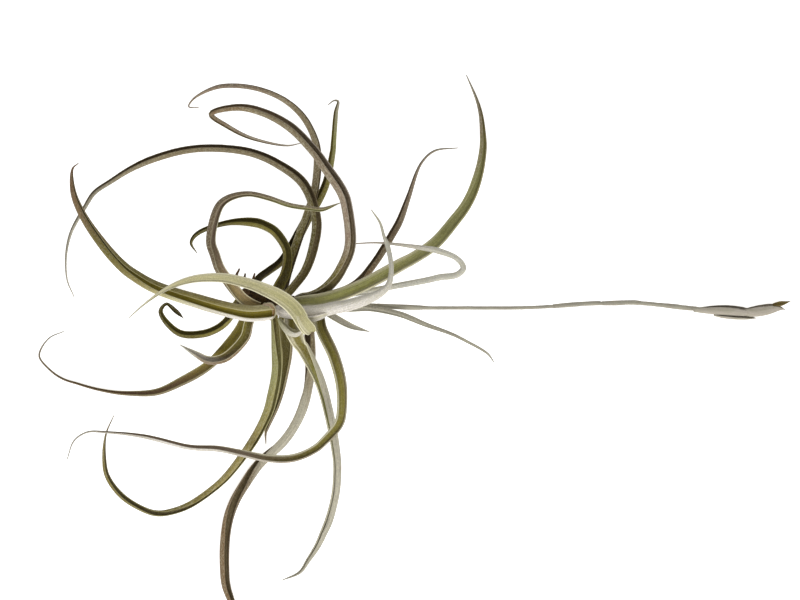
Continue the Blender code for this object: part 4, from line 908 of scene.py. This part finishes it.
def makeScale(name, scale, material, seed):
    bm = bmesh.new()
    placeLayer = bm.verts.layers.float_vector.new("leafPlace")
    full, narrowing = scaleShape["taper"]
    rings = []
    for r in range(scaleShape["rows"] + 1):
        share = r / scaleShape["rows"]
        half = math.radians(scale["sweep"]) / 2 * math.sqrt(full - share * share * narrowing)
        ring = []
        for outer in (True, False):
            order = range(scaleShape["columns"] + 1)
            for c in (order if outer else reversed(order)):
                across = 2 * c / scaleShape["columns"] - 1
                spot, angle, radius = scalePoint(share, across, outer, half, scale, seed)
                vert = bm.verts.new(spot)
                vert[placeLayer] = (
                    share * scale["length"] + seed * scaleShape["skinGap"], angle * radius,
                    seed * scaleShape["skinDepth"])
                ring.append(vert)
        rings.append(ring)
    skinRings(bm, rings)
    for ring, flip in ((rings[0], True), (rings[-1], False)):
        for c in range(scaleShape["columns"]):
            corners = [ring[c], ring[c + 1], ring[-2 - c], ring[-1 - c]]
            bm.faces.new(corners if flip else list(reversed(corners)))
    addPiece(name, bm, material)


scaleSkin = dryMaterial("scaleSkin", scaleLook)
for seed, (name, scale) in enumerate(dryScales.items(), firstSeed["scales"]):
    makeScale(name, scale, scaleSkin, seed)
print("stem, roots and scales made")


# the flower stalk, the sheaths that hug it and the dried spike at its end

stalk = {"sides": 32, "steps": 12, "rough": 0.10, "ridges": 9, "ridgeDepth": 0.035, "readSteps": 6}
stalkRoute = [
    (17.6, -0.2, 44.2, 1.9), (24.0, 0.3, 43.0, 1.9), (40.0, 0.0, 42.5, 1.9), (57.5, -1.0, 41.0, 1.9),
    (71.0, -1.5, 39.5, 1.8), (84.5, -1.5, 37.5, 1.8), (118.5, -1.5, 32.0, 1.8), (131.5, -1.0, 29.5, 1.8),
    (148.0, 0.2, 26.0, 1.9), (171.0, 1.0, 20.0, 2.1), (180.0, 1.0, 17.0, 2.2), (192.0, 0.0, 13.0, 2.2),
    (207.0, -1.5, 7.8, 2.3), (218.0, -2.5, 4.4, 2.0), (228.0, -2.7, 2.9, 1.4), (235.0, -2.4, 2.8, 0.9),
]
stalkSkin = dryMaterial("stalkSkin", stalkLook)
makeRod("flower_stalk", stalkRoute, stalkSkin, stalk, firstSeed["stalk"])
papery = dryMaterial("paperyBract", paperyLook)
stalkCurve = smoothRoute(stalkRoute, stalk["readSteps"])


def onStalk(x, width, lift, turn):
    # a route point along the stalk, lifted off its middle towards a sheath's back
    for a, b in zip(stalkCurve, stalkCurve[1:]):
        if a.x <= x <= b.x:
            place = a.lerp(b, (x - a.x) / (b.x - a.x))
    angle = math.radians(turn)
    return (x, place.y + lift * math.sin(angle), place.z - lift * math.cos(angle), width)


stalkBracts = {
    "stalk_bract_1": {"start": 46.0, "length": 28.0, "turn": 170},
    "stalk_bract_2": {"start": 136.0, "length": 24.0, "turn": 110},
    "stalk_bract_3": {"start": 161.5, "length": 20.0, "turn": 120},
    "stalk_bract_4": {"start": 193.0, "length": 18.0, "turn": 235},
}
# shape is the share of the length, the share of the width and the lift, from base to tip
sheath = {
    "width": 2.9, "wall": 0.30, "fold": (150, 150, 130, 80, 50),
    "shape": (
        (0.00, 0.76, 0.0), (0.30, 0.90, 0.0), (0.62, 0.92, 0.05), (0.84, 0.74, 0.30), (1.00, 0.25, 0.90)),
}
for seed, (name, bract) in enumerate(stalkBracts.items(), firstSeed["sheaths"]):
    route = []
    for share, width, lift in sheath["shape"]:
        x = bract["start"] + bract["length"] * share
        route.append(onStalk(x, sheath["width"] * width, lift, bract["turn"]))
    shape = {"route": route, "turn": (bract["turn"], bract["turn"]), "fold": sheath["fold"]}
    makeChannel(name, shape, stalkSkin, seed, sheath["wall"], True)

spikeBracts = {
    "spike_first_bract": {
        "turn": (-70, -66), "fold": (150, 150, 140, 110), "route": [
        (211, -2.6, 6, 2.3), (215.4, -2.7, 4.6, 3.35), (220.7, -2.7, 3.6, 4.5), (226.1, -2.7, 2.9, 5.23),
        (232.4, -3, 2.6, 5.45), (238.1, -3.4, 2.8, 5.03), (242.3, -3.8, 2.8, 2.88),
    ]},
    "spike_lower_bract": {
        "turn": (-70, -50), "fold": (90, 100, 100, 90), "route": [
        (221.9, -5.1, 2.6, 1.57), (226.1, -5.6, 2.3, 2.72), (231.9, -6.1, 2, 3.14),
        (237.7, -6.4, 2, 2.93), (241.3, -6.7, 2.2, 1.89), (243.4, -6.9, 2.4, 0.73),
    ]},
    "spike_main_bract": {
        "turn": (-84, -70), "fold": (130, 140, 130, 105), "route": [
        (236, -3.5, 3, 2.62), (239.1, -3.6, 2.9, 4.71), (243.3, -3.3, 2.9, 5.97), (248, -2.5, 3, 6.2),
        (251.8, -1.7, 3.1, 5.6), (254.8, -1.4, 3.2, 4.3), (256.8, -1.7, 3.3, 2.6),
        (258.4, -2.3, 3.4, 0.7),
    ]},
    "dried_petals": {
        "turn": (-30, -40), "fold": (110, 100, 80), "route": [
        (252.4, 0, 3.8, 1.4), (254.6, 0.3, 4.1, 2.5), (257, 0.8, 4.4, 2.7), (259.2, 1.3, 4.5, 1.7),
        (261, 1.8, 4.6, 0.6),
    ]},
}
petalSkin = dryMaterial("petalSkin", petalLook)
for seed, (name, bract) in enumerate(spikeBracts.items(), firstSeed["spike"]):
    petals = name == "dried_petals"
    makeChannel(name, bract, petalSkin if petals else papery,
                seed, sheath["wall"], True)
print("stalk and spike made")
